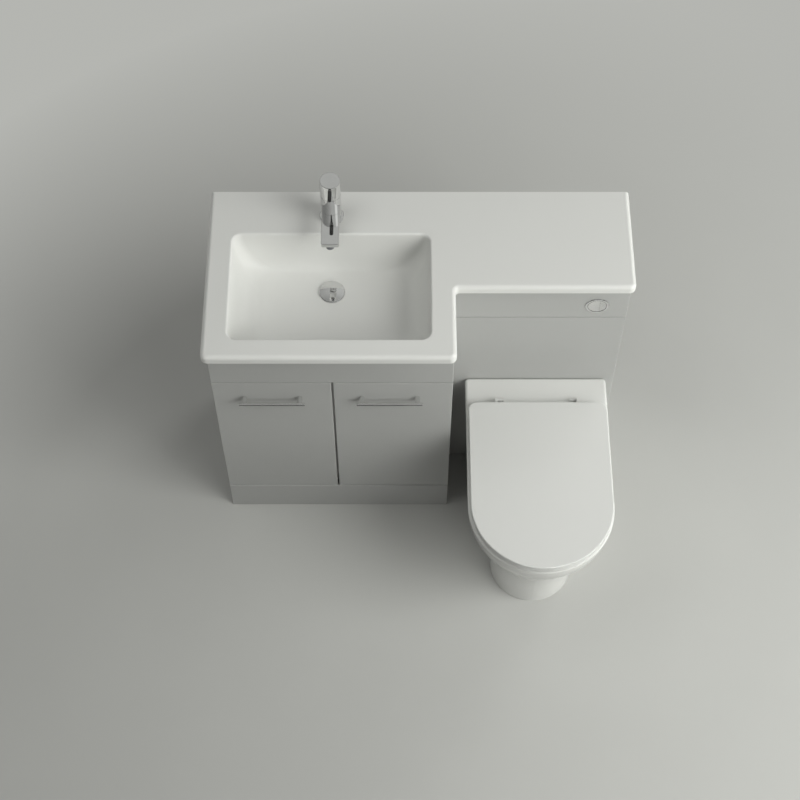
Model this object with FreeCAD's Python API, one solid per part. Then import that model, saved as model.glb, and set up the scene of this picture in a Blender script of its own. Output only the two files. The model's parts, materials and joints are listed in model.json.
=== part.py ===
import FreeCAD, Part
import math
import os

# An L-shaped bathroom combination unit: a vanity cupboard under a moulded basin worktop, beside a toilet unit
# with a concealed cistern and a back-to-wall pan. Millimetres, +Z up, +Y towards the wall, +X to the right.
# The origin is on the floor under the middle of the whole unit.

# Whole unit
unit_width = 1000.0
overall_depth = 787.0
worktop_height = 865.0
overrun = 2.0
pick_tolerance = 0.5
half = 1 / 2

# Boards
board = 16.0
front_board = 18.0
front_gap = 3.0
board_edge = 1.5

# Worktop with the basin
basin_depth = 469.0
shelf_depth = 277.0
worktop_edge = 25.0
worktop_corner = 15.0
worktop_inner_corner = 9.0
worktop_top_round = 10.0
worktop_bottom_round = 2.0
bowl_length = 293.0
bowl_depth = 110.0
bowl_side_margin = 59.0
bowl_back_margin = 125.0
bowl_lip_round = 5.0
bowl_top_corner = 22.0
bowl_floor_corner = 52.0
bowl_side_run = 62.0
bowl_back_run = 34.0
bowl_front_run = 66.0
bowl_wall_power_share = 2.2
bowl_front_power_share = 1.35
bowl_steps = 9
bowl_shell = 10.0
drain_from_back = 91.0
apron_lip = 30.0

# Vanity cupboard
vanity_depth = 396.0
vanity_left_inset = 0.0
vanity_right_inset = 2.0
plinth_height = 110.0
fascia_bottom = 638.0
fascia_height = 120.0
worktop_gap = 1.0
door_meeting_gap = 5.0
door_back_gap = 2.0
base_service_gap = 20.0
front_rail_height = 115.0
front_rail_overlap = 18.0
back_rail_height = 95.0
back_rail_drop = 52.0
wall_hole_radius = 3.5
vanity_hole_inset = 63.5
rail_clearance = 4.0

# Bar handles
handle_length = 160.0
handle_posts = 134.0
handle_bar_radius = 4.0
handle_projection = 24.0
handle_post_radius = 6.0
handle_drop = 65.5
left_handle_inward = -1.0
right_handle_inward = 7.8
handle_round = 1.2
handle_screw_radius = 2.0
handle_screw_head = 4.0
handle_screw_head_thickness = 1.5
screw_hole_clearance = 0.3
screw_into_post = 9.0

# Concealed hinges
hinge_end_distance = 95.0
cup_radius = 17.5
cup_from_edge = 22.5
cup_depth = 11.5
cup_wall = 1.2
cup_floor = 0.8
cup_fit = 0.1
flange_thickness = 1.0
flange_height = 52.0
flange_width = 35.0
arm_plate_thickness = 4.0
arm_plate_height = 44.0
arm_plate_start = 26.0
arm_plate_length = 36.0
arm_thickness = 6.0
arm_height = 14.0
arm_nose = 8.5
bumper_radius = 5.0
bumper_clearance = 0.3
bumper_inset = 40.0

# Worktop brackets and unit joining bolts
bracket_leg = 24.0
bracket_width = 26.0
bracket_thickness = 2.0
bracket_end_inset = 45.0
join_bolt_radius = 3.0
join_bolt_head = 7.0
join_bolt_head_thickness = 2.5
join_bolt_inset = 60.0
join_bolt_low = 300.0
join_bolt_high = 640.0

# Tap
tap_from_wall = 72.0
tap_height = 136.0
tap_radius = 24.0
tap_flange_radius = 28.5
tap_flange_thickness = 5.0
tap_hole_radius = 17.5
tap_joint_height = 87.0
tap_joint_gap = 0.6
spout_width = 42.0
spout_thickness = 12.0
spout_top_height = 61.0
spout_reach = 127.0
spout_corner = 5.0
spout_round = 1.5
aerator_radius = 10.0
aerator_drop = 14.0
aerator_depth = 4.0
aerator_bore = 8.0
aerator_from_tip = 12.5
aerator_fit = 0.1
cartridge_radius = 16.0
cartridge_depth = 30.0
cartridge_fit = 0.3
stem_radius = 5.0
ball_radius = 9.0
ball_fit = 0.3
pivot_height = 103.0
lever_hollow_radius = 19.5
lever_top_round = 1.5
lever_lift = 20.0
lever_pin_radius = 4.5
lever_pin_reach = 28.0
lever_pin_drop = 11.0
stud_radius = 4.0
stud_length = 80.0
stud_from_axis = 9.0
washer_radius = 25.0
washer_thickness = 3.0
washer_slot = 14.5
nut_radius = 8.0
nut_thickness = 8.0
tail_radius = 5.5
tail_spread = 8.0
tail_back = 5.0
tail_drop = 360.0
tail_wall_spread = 75.0
tail_wall_distance = 44.0
tail_end_length = 120.0
tail_bend = 45.0
tail_nut_radius = 12.0
tail_nut_length = 22.0

# Waste and trap
flange_radius = 31.5
flange_height_above_floor = 3.0
waste_radius = 20.5
waste_wall = 2.5
waste_length = 66.0
drain_hole_radius = 22.5
plug_radius = 29.5
plug_thickness = 2.0
plug_dome = 2.5
plug_travel = 8.0
plug_seat_gap = 0.4
plug_stem_radius = 5.0
plug_stem_fit = 0.3
spider_hub_wall = 2.5
spider_height = 12.0
spider_arm = 5.0
spider_below_floor = 24.0
back_nut_radius = 31.0
back_nut_thickness = 10.0
thread_fit = 0.3
trap_radius = 36.0
trap_wall = 3.0
trap_height = 105.0
trap_neck_radius = 24.0
trap_neck_height = 18.0
trap_overlap = 14.0
trap_outlet_radius = 20.0
trap_outlet_drop = 28.0
trap_nut_radius = 30.0
trap_nut_height = 18.0
trap_cup_radius = 39.5
trap_cup_height = 26.0
outlet_nut_radius = 27.0
outlet_nut_length = 16.0

# Toilet unit
wc_unit_depth = 240.0
wc_right_inset = 3.0
wc_line_height = 684.0
cistern_shelf_height = 484.0
wc_rail_height = 60.0
wc_hole_inset = 43.0
clip_width = 30.0
clip_height = 40.0
clip_thickness = 14.0
clip_from_line = 60.0
clip_from_floor = 90.0
clip_from_top = 45.0

# Cistern
tank_side_room = 11.5
tank_depth = 148.0
tank_top_room = 95.0
tank_wall = 4.0
tank_corner = 16.0
tank_lid_height = 14.0
tank_lid_wall = 3.0
tank_lid_fit = 0.5
fill_valve_offset = 110.0
fill_valve_radius = 13.0
fill_valve_top_room = 27.0
fill_valve_base_radius = 18.0
fill_valve_base_height = 14.0
fill_valve_head_radius = 20.0
fill_valve_head_height = 26.0
fill_shank_radius = 9.5
fill_shank_length = 46.0
float_radius = 27.0
float_fit = 0.6
float_height = 58.0
flush_tower_radius = 37.0
flush_tower_wall = 4.0
flush_tower_top_room = 66.0
flush_window_height = 30.0
flush_window_width = 24.0
flush_seat_height = 8.0
piston_fit = 0.6
piston_disc = 7.0
piston_lift = 0.4
piston_tube_radius = 12.0
piston_tube_wall = 2.0
piston_top_room = 42.6
flush_pipe_radius = 20.0
flush_pipe_wall = 2.0
flush_pipe_bend = 62.0
flush_inlet_drop = 66.0
flush_hole_radius = 30.0
flush_pipe_into_pan = 28.0
inlet_bore_radius = 28.0
inlet_bore_depth = 46.0
cone_fit = 0.3
cone_length = 22.0

# Flush button
button_from_right_end = 77.0
button_height = 735.0
bezel_radius = 29.0
bezel_inner = 22.6
bezel_proud = 2.6
bezel_round = 1.2
button_radius = 22.2
button_proud = 1.6
button_length = 20.0
button_split = 6.0
button_split_gap = 0.5
button_round = 0.6
housing_wall = 2.4
housing_depth = 44.0
housing_floor = 3.0
panel_hole_fit = 0.5
housing_nut_radius = 32.0
housing_nut_thickness = 8.0
air_tube_radius = 3.0
air_tube_spread = 9.0
air_tube_rise = 52.0
air_tube_bend = 22.0
air_tube_reach = 60.0

# Toilet pan
pan_left_room = 37.0
pan_right_room = 22.0
pan_half_width = 180.0
pan_height = 404.0
pan_front_inset = 1.5
pan_back_gap = 0.5
pan_back_corner = 10.0
pan_rim_round = 7.0
pan_wall = 15.0
pan_cavity_height = 318.0
pan_level_shares = [0.0, 0.22, 0.46, 0.68, 0.84, 0.93, 1.0]
pan_width_shares = [0.590, 0.595, 0.640, 0.780, 0.935, 0.985, 1.0]
pan_length_shares = [0.806, 0.815, 0.850, 0.920, 0.978, 0.996, 1.0]
pan_rim_width = 58.0
bowl_opening_back = 190.0
bowl_opening_front = 44.0
bowl_opening_corner = 95.0
sump_height = 150.0
pan_bowl_level_shares = [0.0, 0.10, 0.30, 0.55, 0.80, 1.0]
pan_bowl_width_shares = [0.34, 0.42, 0.60, 0.82, 0.96, 1.0]
pan_bowl_front_shares = [0.30, 0.26, 0.17, 0.07, 0.015, 0.0]
pan_bowl_back_shares = [0.07, 0.06, 0.036, 0.014, 0.003, 0.0]
pan_bowl_wall = 12.0
trapway_radius = 40.0
trapway_wall = 9.0
trapway_bend = 52.0
trapway_start_rise = 40.0
trapway_weir_rise = 92.0
trapway_first_run = 96.0
trapway_fall_run = 100.0
outlet_height = 180.0
outlet_spigot = 34.0
flush_passage_radius = 14.0

# Seat and lid
seat_side_inset = 6.0
seat_tuck = 1.5
seat_back = 87.0
seat_corner = 22.0
seat_thickness = 12.0
seat_gap = 3.0
seat_round = 4.0
seat_ring_width = 63.0
seat_hole_back = 195.0
seat_hole_front = 66.0
seat_hole_corner = 90.0
lid_thickness = 12.0
lid_gap = 1.0
lid_top_round = 3.0
lid_under_round = 1.5
lid_strap_thickness = 3.0
lid_strap_round = 2.0
hinge_spacing = 190.0
hinge_from_back = 70.0
hinge_axis_rise = 7.0
hinge_pin_radius = 2.2
hinge_pin_length = 22.0
hinge_pin_fit = 0.3
hinge_post_width = 8.0
hinge_base_radius = 10.0
hinge_base_height = 1.5
hinge_ear_radius = 4.5
hinge_ear_width = 6.5
hinge_ear_gap = 0.5
buffer_radius = 9.0
buffer_back = 150.0
buffer_front = 126.5
buffer_side = 31.0

# Soil connector and pan floor fixings
connector_radius = 55.0
connector_bore_radius = 47.0
connector_socket_radius = 60.0
connector_socket_length = 44.0
connector_fit = 0.5
connector_hole_radius = 66.0
fixing_cap_radius = 9.0
fixing_cap_proud = 3.0
fixing_cap_depth = 10.0
fixing_height = 40.0
fixing_from_back = 190.0

# Places worked out from the sizes above
shelf_width = pan_half_width * 2 + pan_left_room + pan_right_room
basin_width = unit_width - shelf_width
left_end = -unit_width * half
right_end = unit_width * half
wall = overall_depth * half
worktop_under = worktop_height - worktop_edge
vanity_left = left_end + vanity_left_inset
vanity_right = left_end + basin_width - vanity_right_inset
vanity_middle = (vanity_left + vanity_right) * half
vanity_face = wall - vanity_depth
carcass_front = vanity_face + front_board
door_thickness = front_board - door_back_gap
door_back = vanity_face + door_thickness
door_bottom = plinth_height + front_gap
door_top = fascia_bottom - front_gap
fascia_top = fascia_bottom + fascia_height
door_width = (vanity_right - vanity_left - door_meeting_gap) * half
hinge_heights = [door_bottom + hinge_end_distance, door_top - hinge_end_distance]
bowl_left = left_end + bowl_side_margin
bowl_right = left_end + basin_width - bowl_side_margin
bowl_middle = (bowl_left + bowl_right) * half
bowl_back = wall - bowl_back_margin
bowl_front = bowl_back - bowl_length
bowl_floor = worktop_height - bowl_depth
shell_bottom = bowl_floor - bowl_shell
drain_y = bowl_back - drain_from_back
tap_y = wall - tap_from_wall
wc_left = vanity_right
wc_right = right_end - wc_right_inset
wc_face = wall - wc_unit_depth
wc_panel_back = wc_face + front_board
pan_middle = right_end - pan_right_room - pan_half_width
pan_back = wc_face - pan_back_gap
seat_front_y = wall - overall_depth
pan_front = seat_front_y + pan_front_inset
pan_length = pan_back - pan_front
tank_bottom = cistern_shelf_height + board
tank_back = wall - board
tank_front = tank_back - tank_depth
tank_middle = (tank_front + tank_back) * half
tank_top = worktop_under - tank_top_room
tank_height = tank_top - tank_bottom
tank_width = (wc_right - board - tank_side_room - pan_middle) * 2
flush_inlet_height = pan_height - flush_inlet_drop
bowl_opening_half = pan_half_width - pan_rim_width
seat_half_width = pan_half_width - seat_side_inset
seat_hole_half = seat_half_width - seat_ring_width
button_x = right_end - button_from_right_end
housing_radius = bezel_inner + housing_wall
seat_bottom = pan_height + seat_gap
seat_top = seat_bottom + seat_thickness
lid_bottom = seat_top + lid_gap
lid_top = lid_bottom + lid_thickness
seat_back_y = pan_back - seat_back
hinge_y = pan_back - hinge_from_back
hinge_z = pan_height + hinge_axis_rise
hinge_places = [pan_middle - hinge_spacing * half, pan_middle + hinge_spacing * half]


# Shared shapes
def at(x, y, z):
    return FreeCAD.Vector(x, y, z)


def box(x0, x1, y0, y1, z0, z1):
    return Part.makeBox(x1 - x0, y1 - y0, z1 - z0, at(x0, y0, z0))


def rod(radius, start, end):
    return Part.makeCylinder(radius, (end - start).Length, start, end - start)


def tube(outer, inner, start, end):
    step = (end - start).normalize() * overrun
    return rod(outer, start, end).cut(rod(inner, start - step, end + step))


def upright(radius, x, y, z0, z1):
    return rod(radius, at(x, y, z0), at(x, y, z1))


def ring(outer, inner, x, y, z0, z1):
    return tube(outer, inner, at(x, y, z0), at(x, y, z1))


def join(first, others):
    return first.fuse(others).removeSplitter()


def group(solids):
    return Part.makeCompound(solids)


def mirrored(shape, x):
    return shape.mirror(at(x, 0, 0), at(1, 0, 0))


def edges_where(shape, test):
    return [edge for edge in shape.Edges if test(edge)]


def is_upright(edge):
    box_of_edge = edge.BoundBox
    return box_of_edge.ZLength > max(box_of_edge.XLength, box_of_edge.YLength) * 2


def lies_at(edge, z):
    return abs(edge.BoundBox.ZMin - z) < pick_tolerance and abs(edge.BoundBox.ZMax - z) < pick_tolerance


def at_depth(edge, y):
    return abs(edge.BoundBox.YMin - y) < pick_tolerance and abs(edge.BoundBox.YMax - y) < pick_tolerance


def arc(start, middle, end):
    return Part.Arc(start, middle, end).toShape()


def line(start, end):
    return Part.makeLine(start, end)


# A closed outline with straight sides and round corners, one radius for all four corners
def rounded_outline(x0, x1, y0, y1, radius, z):
    bite = radius * (1 - math.sqrt(half))
    left = [at(x0, y0 + radius, z), at(x0, y1 - radius, z)]
    back = [at(x0 + radius, y1, z), at(x1 - radius, y1, z)]
    right = [at(x1, y1 - radius, z), at(x1, y0 + radius, z)]
    front = [at(x1 - radius, y0, z), at(x0 + radius, y0, z)]
    return Part.Wire([
        line(left[0], left[1]),
        arc(left[1], at(x0 + bite, y1 - bite, z), back[0]),
        line(back[0], back[1]),
        arc(back[1], at(x1 - bite, y1 - bite, z), right[0]),
        line(right[0], right[1]),
        arc(right[1], at(x1 - bite, y0 + bite, z), front[0]),
        line(front[0], front[1]),
        arc(front[1], at(x0 + bite, y0 + bite, z), left[0]),
    ])


# A D outline: a half round front, straight sides and a straight back with round corners
def d_outline(middle, half_width, y_back, y_front, corner, z):
    x0 = middle - half_width
    x1 = middle + half_width
    corner = min(corner, (y_back - y_front) * half)
    turn = min(y_front + half_width, y_back - corner - pick_tolerance)
    bite = corner * (1 - math.sqrt(half))
    slant = half_width * math.sqrt(half)
    shoulder = turn - (turn - y_front) * math.sqrt(half)
    return Part.Wire([
        line(at(x0, turn, z), at(x0, y_back - corner, z)),
        arc(at(x0, y_back - corner, z), at(x0 + bite, y_back - bite, z), at(x0 + corner, y_back, z)),
        line(at(x0 + corner, y_back, z), at(x1 - corner, y_back, z)),
        arc(at(x1 - corner, y_back, z), at(x1 - bite, y_back - bite, z), at(x1, y_back - corner, z)),
        line(at(x1, y_back - corner, z), at(x1, turn, z)),
        arc(at(x1, turn, z), at(middle + slant, shoulder, z), at(middle, y_front, z)),
        arc(at(middle, y_front, z), at(middle - slant, shoulder, z), at(x0, turn, z)),
    ])


def raised(wire, height):
    return Part.Face(wire).extrude(at(0, 0, height))


def loft(wires):
    return Part.makeLoft(wires, True, False)


# A round bar along straight runs joined by tangent arcs of one bend radius
def bent_bar(points, radius, bend):
    edges = []
    last = points[0]
    for before, corner, after in zip(points, points[1:], points[2:]):
        towards = (corner - before).normalize()
        away = (after - corner).normalize()
        turn = towards.getAngle(away)
        cut_back = bend * math.tan(turn * half)
        start = corner - towards * cut_back
        end = corner + away * cut_back
        inward = (away - towards).normalize()
        centre = corner + inward * (bend / math.cos(turn * half))
        edges.append(line(last, start))
        edges.append(arc(start, centre - inward * bend, end))
        last = end
    edges.append(line(last, points[-1]))
    path = Part.Wire(edges)
    section = Part.Wire(Part.makeCircle(radius, points[0], points[1] - points[0]))
    return path.makePipeShell([section], True, True)


# Worktop with its bowl
def bowl_inset(run, power, depth_share):
    return run * (1 - (1 - depth_share ** power) ** (1 / power))


def bowl_solid(grow):
    depth = bowl_depth + grow
    wires = []
    for step in range(bowl_steps):
        angle = math.pi * half * step / (bowl_steps - 1)
        depth_share = math.sin(angle) ** (2 / bowl_wall_power_share)
        side = bowl_inset(bowl_side_run, bowl_wall_power_share, depth_share)
        back = bowl_inset(bowl_back_run, bowl_wall_power_share, depth_share)
        front = bowl_inset(bowl_front_run, bowl_front_power_share, depth_share)
        radius = bowl_top_corner + grow + (bowl_floor_corner - bowl_top_corner) * side / bowl_side_run
        wires.append(rounded_outline(
            bowl_left - grow + side, bowl_right + grow - side,
            bowl_front - grow + front, bowl_back + grow - back,
            radius, worktop_height - depth * depth_share))
    return loft(wires)


def worktop_slab():
    x_step = left_end + basin_width
    y_basin = wall - basin_depth
    y_shelf = wall - shelf_depth
    corners = [at(left_end, wall, worktop_under), at(left_end, y_basin, worktop_under),
               at(x_step, y_basin, worktop_under), at(x_step, y_shelf, worktop_under),
               at(right_end, y_shelf, worktop_under), at(right_end, wall, worktop_under)]
    slab = Part.Face(Part.makePolygon(corners + corners[:1])).extrude(at(0, 0, worktop_edge))

    def corner_at(points):
        middles = [point + at(0, 0, worktop_edge * half) for point in points]
        return edges_where(slab, lambda edge: is_upright(edge) and any(
            edge.BoundBox.Center.distanceToPoint(middle) < overrun for middle in middles))

    slab = slab.makeFillet(worktop_corner, corner_at([corners[1], corners[2], corners[4]]))
    slab = slab.makeFillet(worktop_inner_corner, corner_at([corners[3]]))
    slab = slab.makeFillet(worktop_bottom_round, edges_where(
        slab, lambda edge: lies_at(edge, worktop_under) and not at_depth(edge, wall)))
    return slab.makeFillet(worktop_top_round, edges_where(
        slab, lambda edge: lies_at(edge, worktop_height) and not at_depth(edge, wall)))


# Under the front overhang a sloping apron carries the bowl down to the fascia
def basin_apron():
    bottom = fascia_top + worktop_gap
    corners = [at(vanity_left, wall - basin_depth + apron_lip, worktop_under),
               at(vanity_left, vanity_face, bottom),
               at(vanity_left, carcass_front, bottom),
               at(vanity_left, carcass_front, worktop_under)]
    return Part.Face(Part.makePolygon(corners + corners[:1])).extrude(at(vanity_right - vanity_left, 0, 0))


def basin_top():
    below = box(left_end, right_end, wall - basin_depth, wall,
                shell_bottom, worktop_height - worktop_edge * half)
    shell = bowl_solid(bowl_shell).common(below)
    top = join(worktop_slab(), [basin_apron(), shell]).cut(bowl_solid(0))
    lip = edges_where(top, lambda edge: lies_at(edge, worktop_height)
                      and edge.BoundBox.XMin > bowl_left - overrun
                      and edge.BoundBox.XMax < bowl_right + overrun
                      and edge.BoundBox.YMin > bowl_front - overrun
                      and edge.BoundBox.YMax < bowl_back + overrun)
    top = top.makeFillet(bowl_lip_round, lip)
    drain_hole = upright(drain_hole_radius, bowl_middle, drain_y,
                         shell_bottom - overrun, bowl_floor + overrun)
    tap_hole = upright(tap_hole_radius, bowl_middle, tap_y,
                       worktop_under - overrun, worktop_height + overrun)
    return top.cut([drain_hole, tap_hole])


# Vanity cupboard
def soft_front(panel):
    return panel.makeFillet(board_edge, edges_where(panel, lambda edge: at_depth(edge, panel.BoundBox.YMin)))


def vanity_side(x):
    return box(x, x + board, carcass_front, wall, 0, worktop_under)


def vanity_base():
    return box(vanity_left + board, vanity_right - board, carcass_front, wall - base_service_gap,
               door_bottom, door_bottom + board)


def wall_holes(first, last, z):
    return group([rod(wall_hole_radius, at(x, wall - board - overrun, z), at(x, wall + overrun, z))
                  for x in (first, last)])


vanity_rail_top = worktop_under - back_rail_drop
vanity_rail_middle = vanity_rail_top - back_rail_height * half


def vanity_back_rail():
    rail = box(vanity_left + board, vanity_right - board, wall - board, wall,
               vanity_rail_top - back_rail_height, vanity_rail_top)
    return rail.cut(wall_holes(vanity_left + board + vanity_hole_inset,
                               vanity_right - board - vanity_hole_inset, vanity_rail_middle))


def vanity_front_rail():
    bottom = fascia_bottom - front_rail_overlap
    top = min(bottom + front_rail_height, shell_bottom - rail_clearance)
    return box(vanity_left + board, vanity_right - board, carcass_front, carcass_front + board, bottom, top)


def vanity_fascia():
    return soft_front(box(vanity_left, vanity_right, vanity_face, carcass_front, fascia_bottom, fascia_top))


def vanity_plinth():
    return soft_front(box(vanity_left, vanity_right, vanity_face, carcass_front, 0, plinth_height))


# Doors and handles are drawn on the left and mirrored for the right. Inward is how far a handle sits from the
# middle of its door towards the other door.
def handle_middle(inward):
    return vanity_left + door_width * half + inward


def handle_z():
    return door_top - handle_drop


def handle_post_places(inward):
    return [handle_middle(inward) - handle_posts * half, handle_middle(inward) + handle_posts * half]


def door_leaf(inward):
    door = soft_front(box(vanity_left, vanity_left + door_width, vanity_face, door_back, door_bottom, door_top))
    for z in hinge_heights:
        x = vanity_left + cup_from_edge
        door = door.cut(rod(cup_radius + cup_fit, at(x, door_back - cup_depth, z),
                            at(x, door_back + overrun, z)))
    for x in handle_post_places(inward):
        hole = rod(handle_screw_radius + screw_hole_clearance,
                   at(x, vanity_face - overrun, handle_z()), at(x, door_back + overrun, handle_z()))
        door = door.cut(hole)
    return door


def bar_handle(inward):
    bar_y = vanity_face - handle_projection + handle_bar_radius
    bar = rod(handle_bar_radius, at(handle_middle(inward) - handle_length * half, bar_y, handle_z()),
              at(handle_middle(inward) + handle_length * half, bar_y, handle_z()))
    bar = bar.makeFillet(handle_round, edges_where(bar, lambda edge: edge.BoundBox.XLength < overrun))
    posts = [rod(handle_post_radius, at(x, bar_y, handle_z()), at(x, vanity_face, handle_z()))
             for x in handle_post_places(inward)]
    handle = join(bar, posts)
    for x in handle_post_places(inward):
        handle = handle.cut(rod(handle_screw_radius, at(x, vanity_face - screw_into_post, handle_z()),
                                at(x, vanity_face + overrun, handle_z())))
    return handle


def handle_screws(inward):
    screws = []
    for x in handle_post_places(inward):
        shank = rod(handle_screw_radius, at(x, vanity_face - screw_into_post, handle_z()),
                    at(x, door_back, handle_z()))
        head = rod(handle_screw_head, at(x, door_back, handle_z()),
                   at(x, door_back + handle_screw_head_thickness, handle_z()))
        screws.append(join(shank, [head]))
    return group(screws)


def left_hinge_cups():
    cups = []
    for z in hinge_heights:
        x = vanity_left + cup_from_edge
        bottom = door_back - cup_depth
        cup = rod(cup_radius, at(x, bottom, z), at(x, door_back, z))
        flange = box(x - flange_width * half, x + flange_width * half, door_back, door_back + flange_thickness,
                     z - flange_height * half, z + flange_height * half)
        flange = flange.makeFillet(cup_floor, edges_where(flange, lambda edge: edge.BoundBox.YLength > 0))
        hollow = rod(cup_radius - cup_wall, at(x, bottom + cup_floor, z),
                     at(x, door_back + flange_thickness + overrun, z))
        cups.append(join(cup, [flange]).cut(hollow))
    return group(cups)


def left_hinge_arms():
    arms = []
    for z in hinge_heights:
        x = vanity_left + board
        plate_front = door_back + arm_plate_start
        plate = box(x, x + arm_plate_thickness, plate_front, plate_front + arm_plate_length,
                    z - arm_plate_height * half, z + arm_plate_height * half)
        x_arm = x + arm_plate_thickness
        arm = box(x_arm, x_arm + arm_thickness, door_back - arm_nose, plate_front + arm_plate_length,
                  z - arm_height * half, z + arm_height * half)
        arm = arm.makeFillet(arm_thickness * half - cup_floor, edges_where(
            arm, lambda edge: edge.BoundBox.ZLength > 0 and edge.BoundBox.YMax < door_back))
        arms.append(join(plate, [arm]))
    return group(arms)


def door_bumpers():
    stops = []
    thickness = door_back_gap - bumper_clearance
    for z in (door_bottom + board * half, door_top - bumper_radius - bumper_clearance):
        for x in (vanity_middle - bumper_inset, vanity_middle + bumper_inset):
            stops.append(rod(bumper_radius, at(x, carcass_front, z), at(x, carcass_front - thickness, z)))
    return group(stops)


def corner_brackets():
    brackets = []
    vanity_ends = (carcass_front + bracket_end_inset, wall - board - bracket_end_inset)
    wc_ends = (wc_panel_back + bracket_end_inset, wall - board - bracket_end_inset)
    sides = [(vanity_left + board, 1, vanity_ends), (vanity_right - board, -1, vanity_ends),
             (wc_left + board, 1, wc_ends), (wc_right - board, -1, wc_ends)]
    for x, way, ends in sides:
        for y in ends:
            wide = [x, x + bracket_leg * way]
            thin = [x, x + bracket_thickness * way]
            flat = box(min(wide), max(wide), y - bracket_width * half, y + bracket_width * half,
                       worktop_under - bracket_thickness, worktop_under)
            upright_leg = box(min(thin), max(thin), y - bracket_width * half, y + bracket_width * half,
                              worktop_under - bracket_leg, worktop_under)
            brackets.append(join(flat, [upright_leg]))
    return group(brackets)


def join_bolt_places():
    return [(wall - join_bolt_inset, join_bolt_low), (wall - join_bolt_inset, join_bolt_high),
            (wc_panel_back + join_bolt_inset, join_bolt_low), (wc_panel_back + join_bolt_inset, join_bolt_high)]


def drilled_for_bolts(panel):
    for y, z in join_bolt_places():
        panel = panel.cut(rod(join_bolt_radius, at(panel.BoundBox.XMin - overrun, y, z),
                              at(panel.BoundBox.XMax + overrun, y, z)))
    return panel


def unit_joining_bolts():
    bolts = []
    x0 = vanity_right - board
    x1 = wc_left + board
    for y, z in join_bolt_places():
        shank = rod(join_bolt_radius, at(x0, y, z), at(x1, y, z))
        heads = [rod(join_bolt_head, at(x0 - join_bolt_head_thickness, y, z), at(x0, y, z)),
                 rod(join_bolt_head, at(x1, y, z), at(x1 + join_bolt_head_thickness, y, z))]
        bolts.append(join(shank, heads))
    return group(bolts)


# Tap
def tap_body():
    deck = worktop_height
    x = bowl_middle
    column = upright(tap_radius, x, tap_y, deck, deck + tap_joint_height)
    flange = upright(tap_flange_radius, x, tap_y, deck, deck + tap_flange_thickness)
    flange = flange.makeFillet(spout_round, edges_where(
        flange, lambda edge: lies_at(edge, deck + tap_flange_thickness)))
    spout_top = deck + spout_top_height
    tip = tap_y - spout_reach
    spout = box(x - spout_width * half, x + spout_width * half, tip, tap_y,
                spout_top - spout_thickness, spout_top)
    spout = spout.makeFillet(spout_corner, edges_where(
        spout, lambda edge: is_upright(edge) and edge.BoundBox.YMax < tap_y - tap_radius))
    spout = spout.makeFillet(spout_round, edges_where(
        spout, lambda edge: not is_upright(edge) and edge.BoundBox.YMin < tap_y - spout_round))
    body = join(column, [flange, spout])
    bore = upright(cartridge_radius + cartridge_fit, x, tap_y,
                   deck + tap_joint_height - cartridge_depth - cartridge_fit, deck + tap_joint_height + overrun)
    nozzle = upright(aerator_radius + aerator_fit, x, tip + aerator_from_tip,
                     spout_top - spout_thickness - overrun, spout_top - spout_thickness + aerator_depth)
    return body.cut([bore, nozzle])


def tap_aerator():
    under = worktop_height + spout_top_height - spout_thickness
    y = tap_y - spout_reach + aerator_from_tip
    body = upright(aerator_radius, bowl_middle, y, under - aerator_drop, under + aerator_depth)
    body = body.makeFillet(spout_round, edges_where(body, lambda edge: lies_at(edge, under - aerator_drop)))
    return body.cut(upright(aerator_bore, bowl_middle, y, under - aerator_drop - overrun, under))


tap_pivot_z = worktop_height + pivot_height


def tap_cartridge():
    top = worktop_height + tap_joint_height
    core = upright(cartridge_radius, bowl_middle, tap_y, top - cartridge_depth, top)
    stem = upright(stem_radius, bowl_middle, tap_y, top, tap_pivot_z)
    ball = Part.makeSphere(ball_radius, at(bowl_middle, tap_y, tap_pivot_z))
    return join(core, [stem, ball])


# The lever cap sits on the ball, and its back edge is cut away so that the cap can tip up at the front
def tap_lever():
    bottom = worktop_height + tap_joint_height + tap_joint_gap
    top = worktop_height + tap_height
    cap = upright(tap_radius, bowl_middle, tap_y, bottom, top)
    cap = cap.makeFillet(lever_top_round, edges_where(cap, lambda edge: lies_at(edge, top)))
    pin_z = top - lever_pin_drop
    pin_tip = tap_y - tap_radius - lever_pin_reach
    pin = rod(lever_pin_radius, at(bowl_middle, tap_y - ball_radius - ball_fit - stem_radius, pin_z),
              at(bowl_middle, pin_tip, pin_z))
    pin = pin.makeFillet(lever_pin_radius * half, edges_where(pin, lambda edge: at_depth(edge, pin_tip)))
    lever = join(cap, [pin])
    hollow = upright(lever_hollow_radius, bowl_middle, tap_y, bottom - overrun, tap_pivot_z - tap_joint_gap)
    socket = Part.makeSphere(ball_radius + ball_fit, at(bowl_middle, tap_y, tap_pivot_z))
    wedge = box(bowl_middle - tap_radius - overrun, bowl_middle + tap_radius + overrun,
                tap_y, tap_y + tap_radius * 2, bottom - tap_radius * 2, bottom)
    wedge.rotate(at(bowl_middle, tap_y, bottom), at(1, 0, 0), lever_lift)
    return lever.cut([hollow, socket, wedge])


def tap_fixings():
    y = tap_y + stud_from_axis
    stud = upright(stud_radius, bowl_middle, y, worktop_height - stud_length, worktop_height)
    washer = upright(washer_radius, bowl_middle, tap_y, worktop_under - washer_thickness, worktop_under)
    slot = box(bowl_middle - washer_slot, bowl_middle + washer_slot, tap_y - washer_radius - overrun,
               tap_y - tail_back + tail_radius + screw_hole_clearance,
               worktop_under - washer_thickness - overrun, worktop_under + overrun)
    hole = upright(stud_radius + screw_hole_clearance, bowl_middle, y,
                   worktop_under - washer_thickness - overrun, worktop_under + overrun)
    washer = washer.cut([slot, hole])
    nut_top = worktop_under - washer_thickness
    nut = ring(nut_radius, stud_radius + screw_hole_clearance, bowl_middle, y, nut_top - nut_thickness, nut_top)
    return group([stud, washer, nut])


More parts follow.
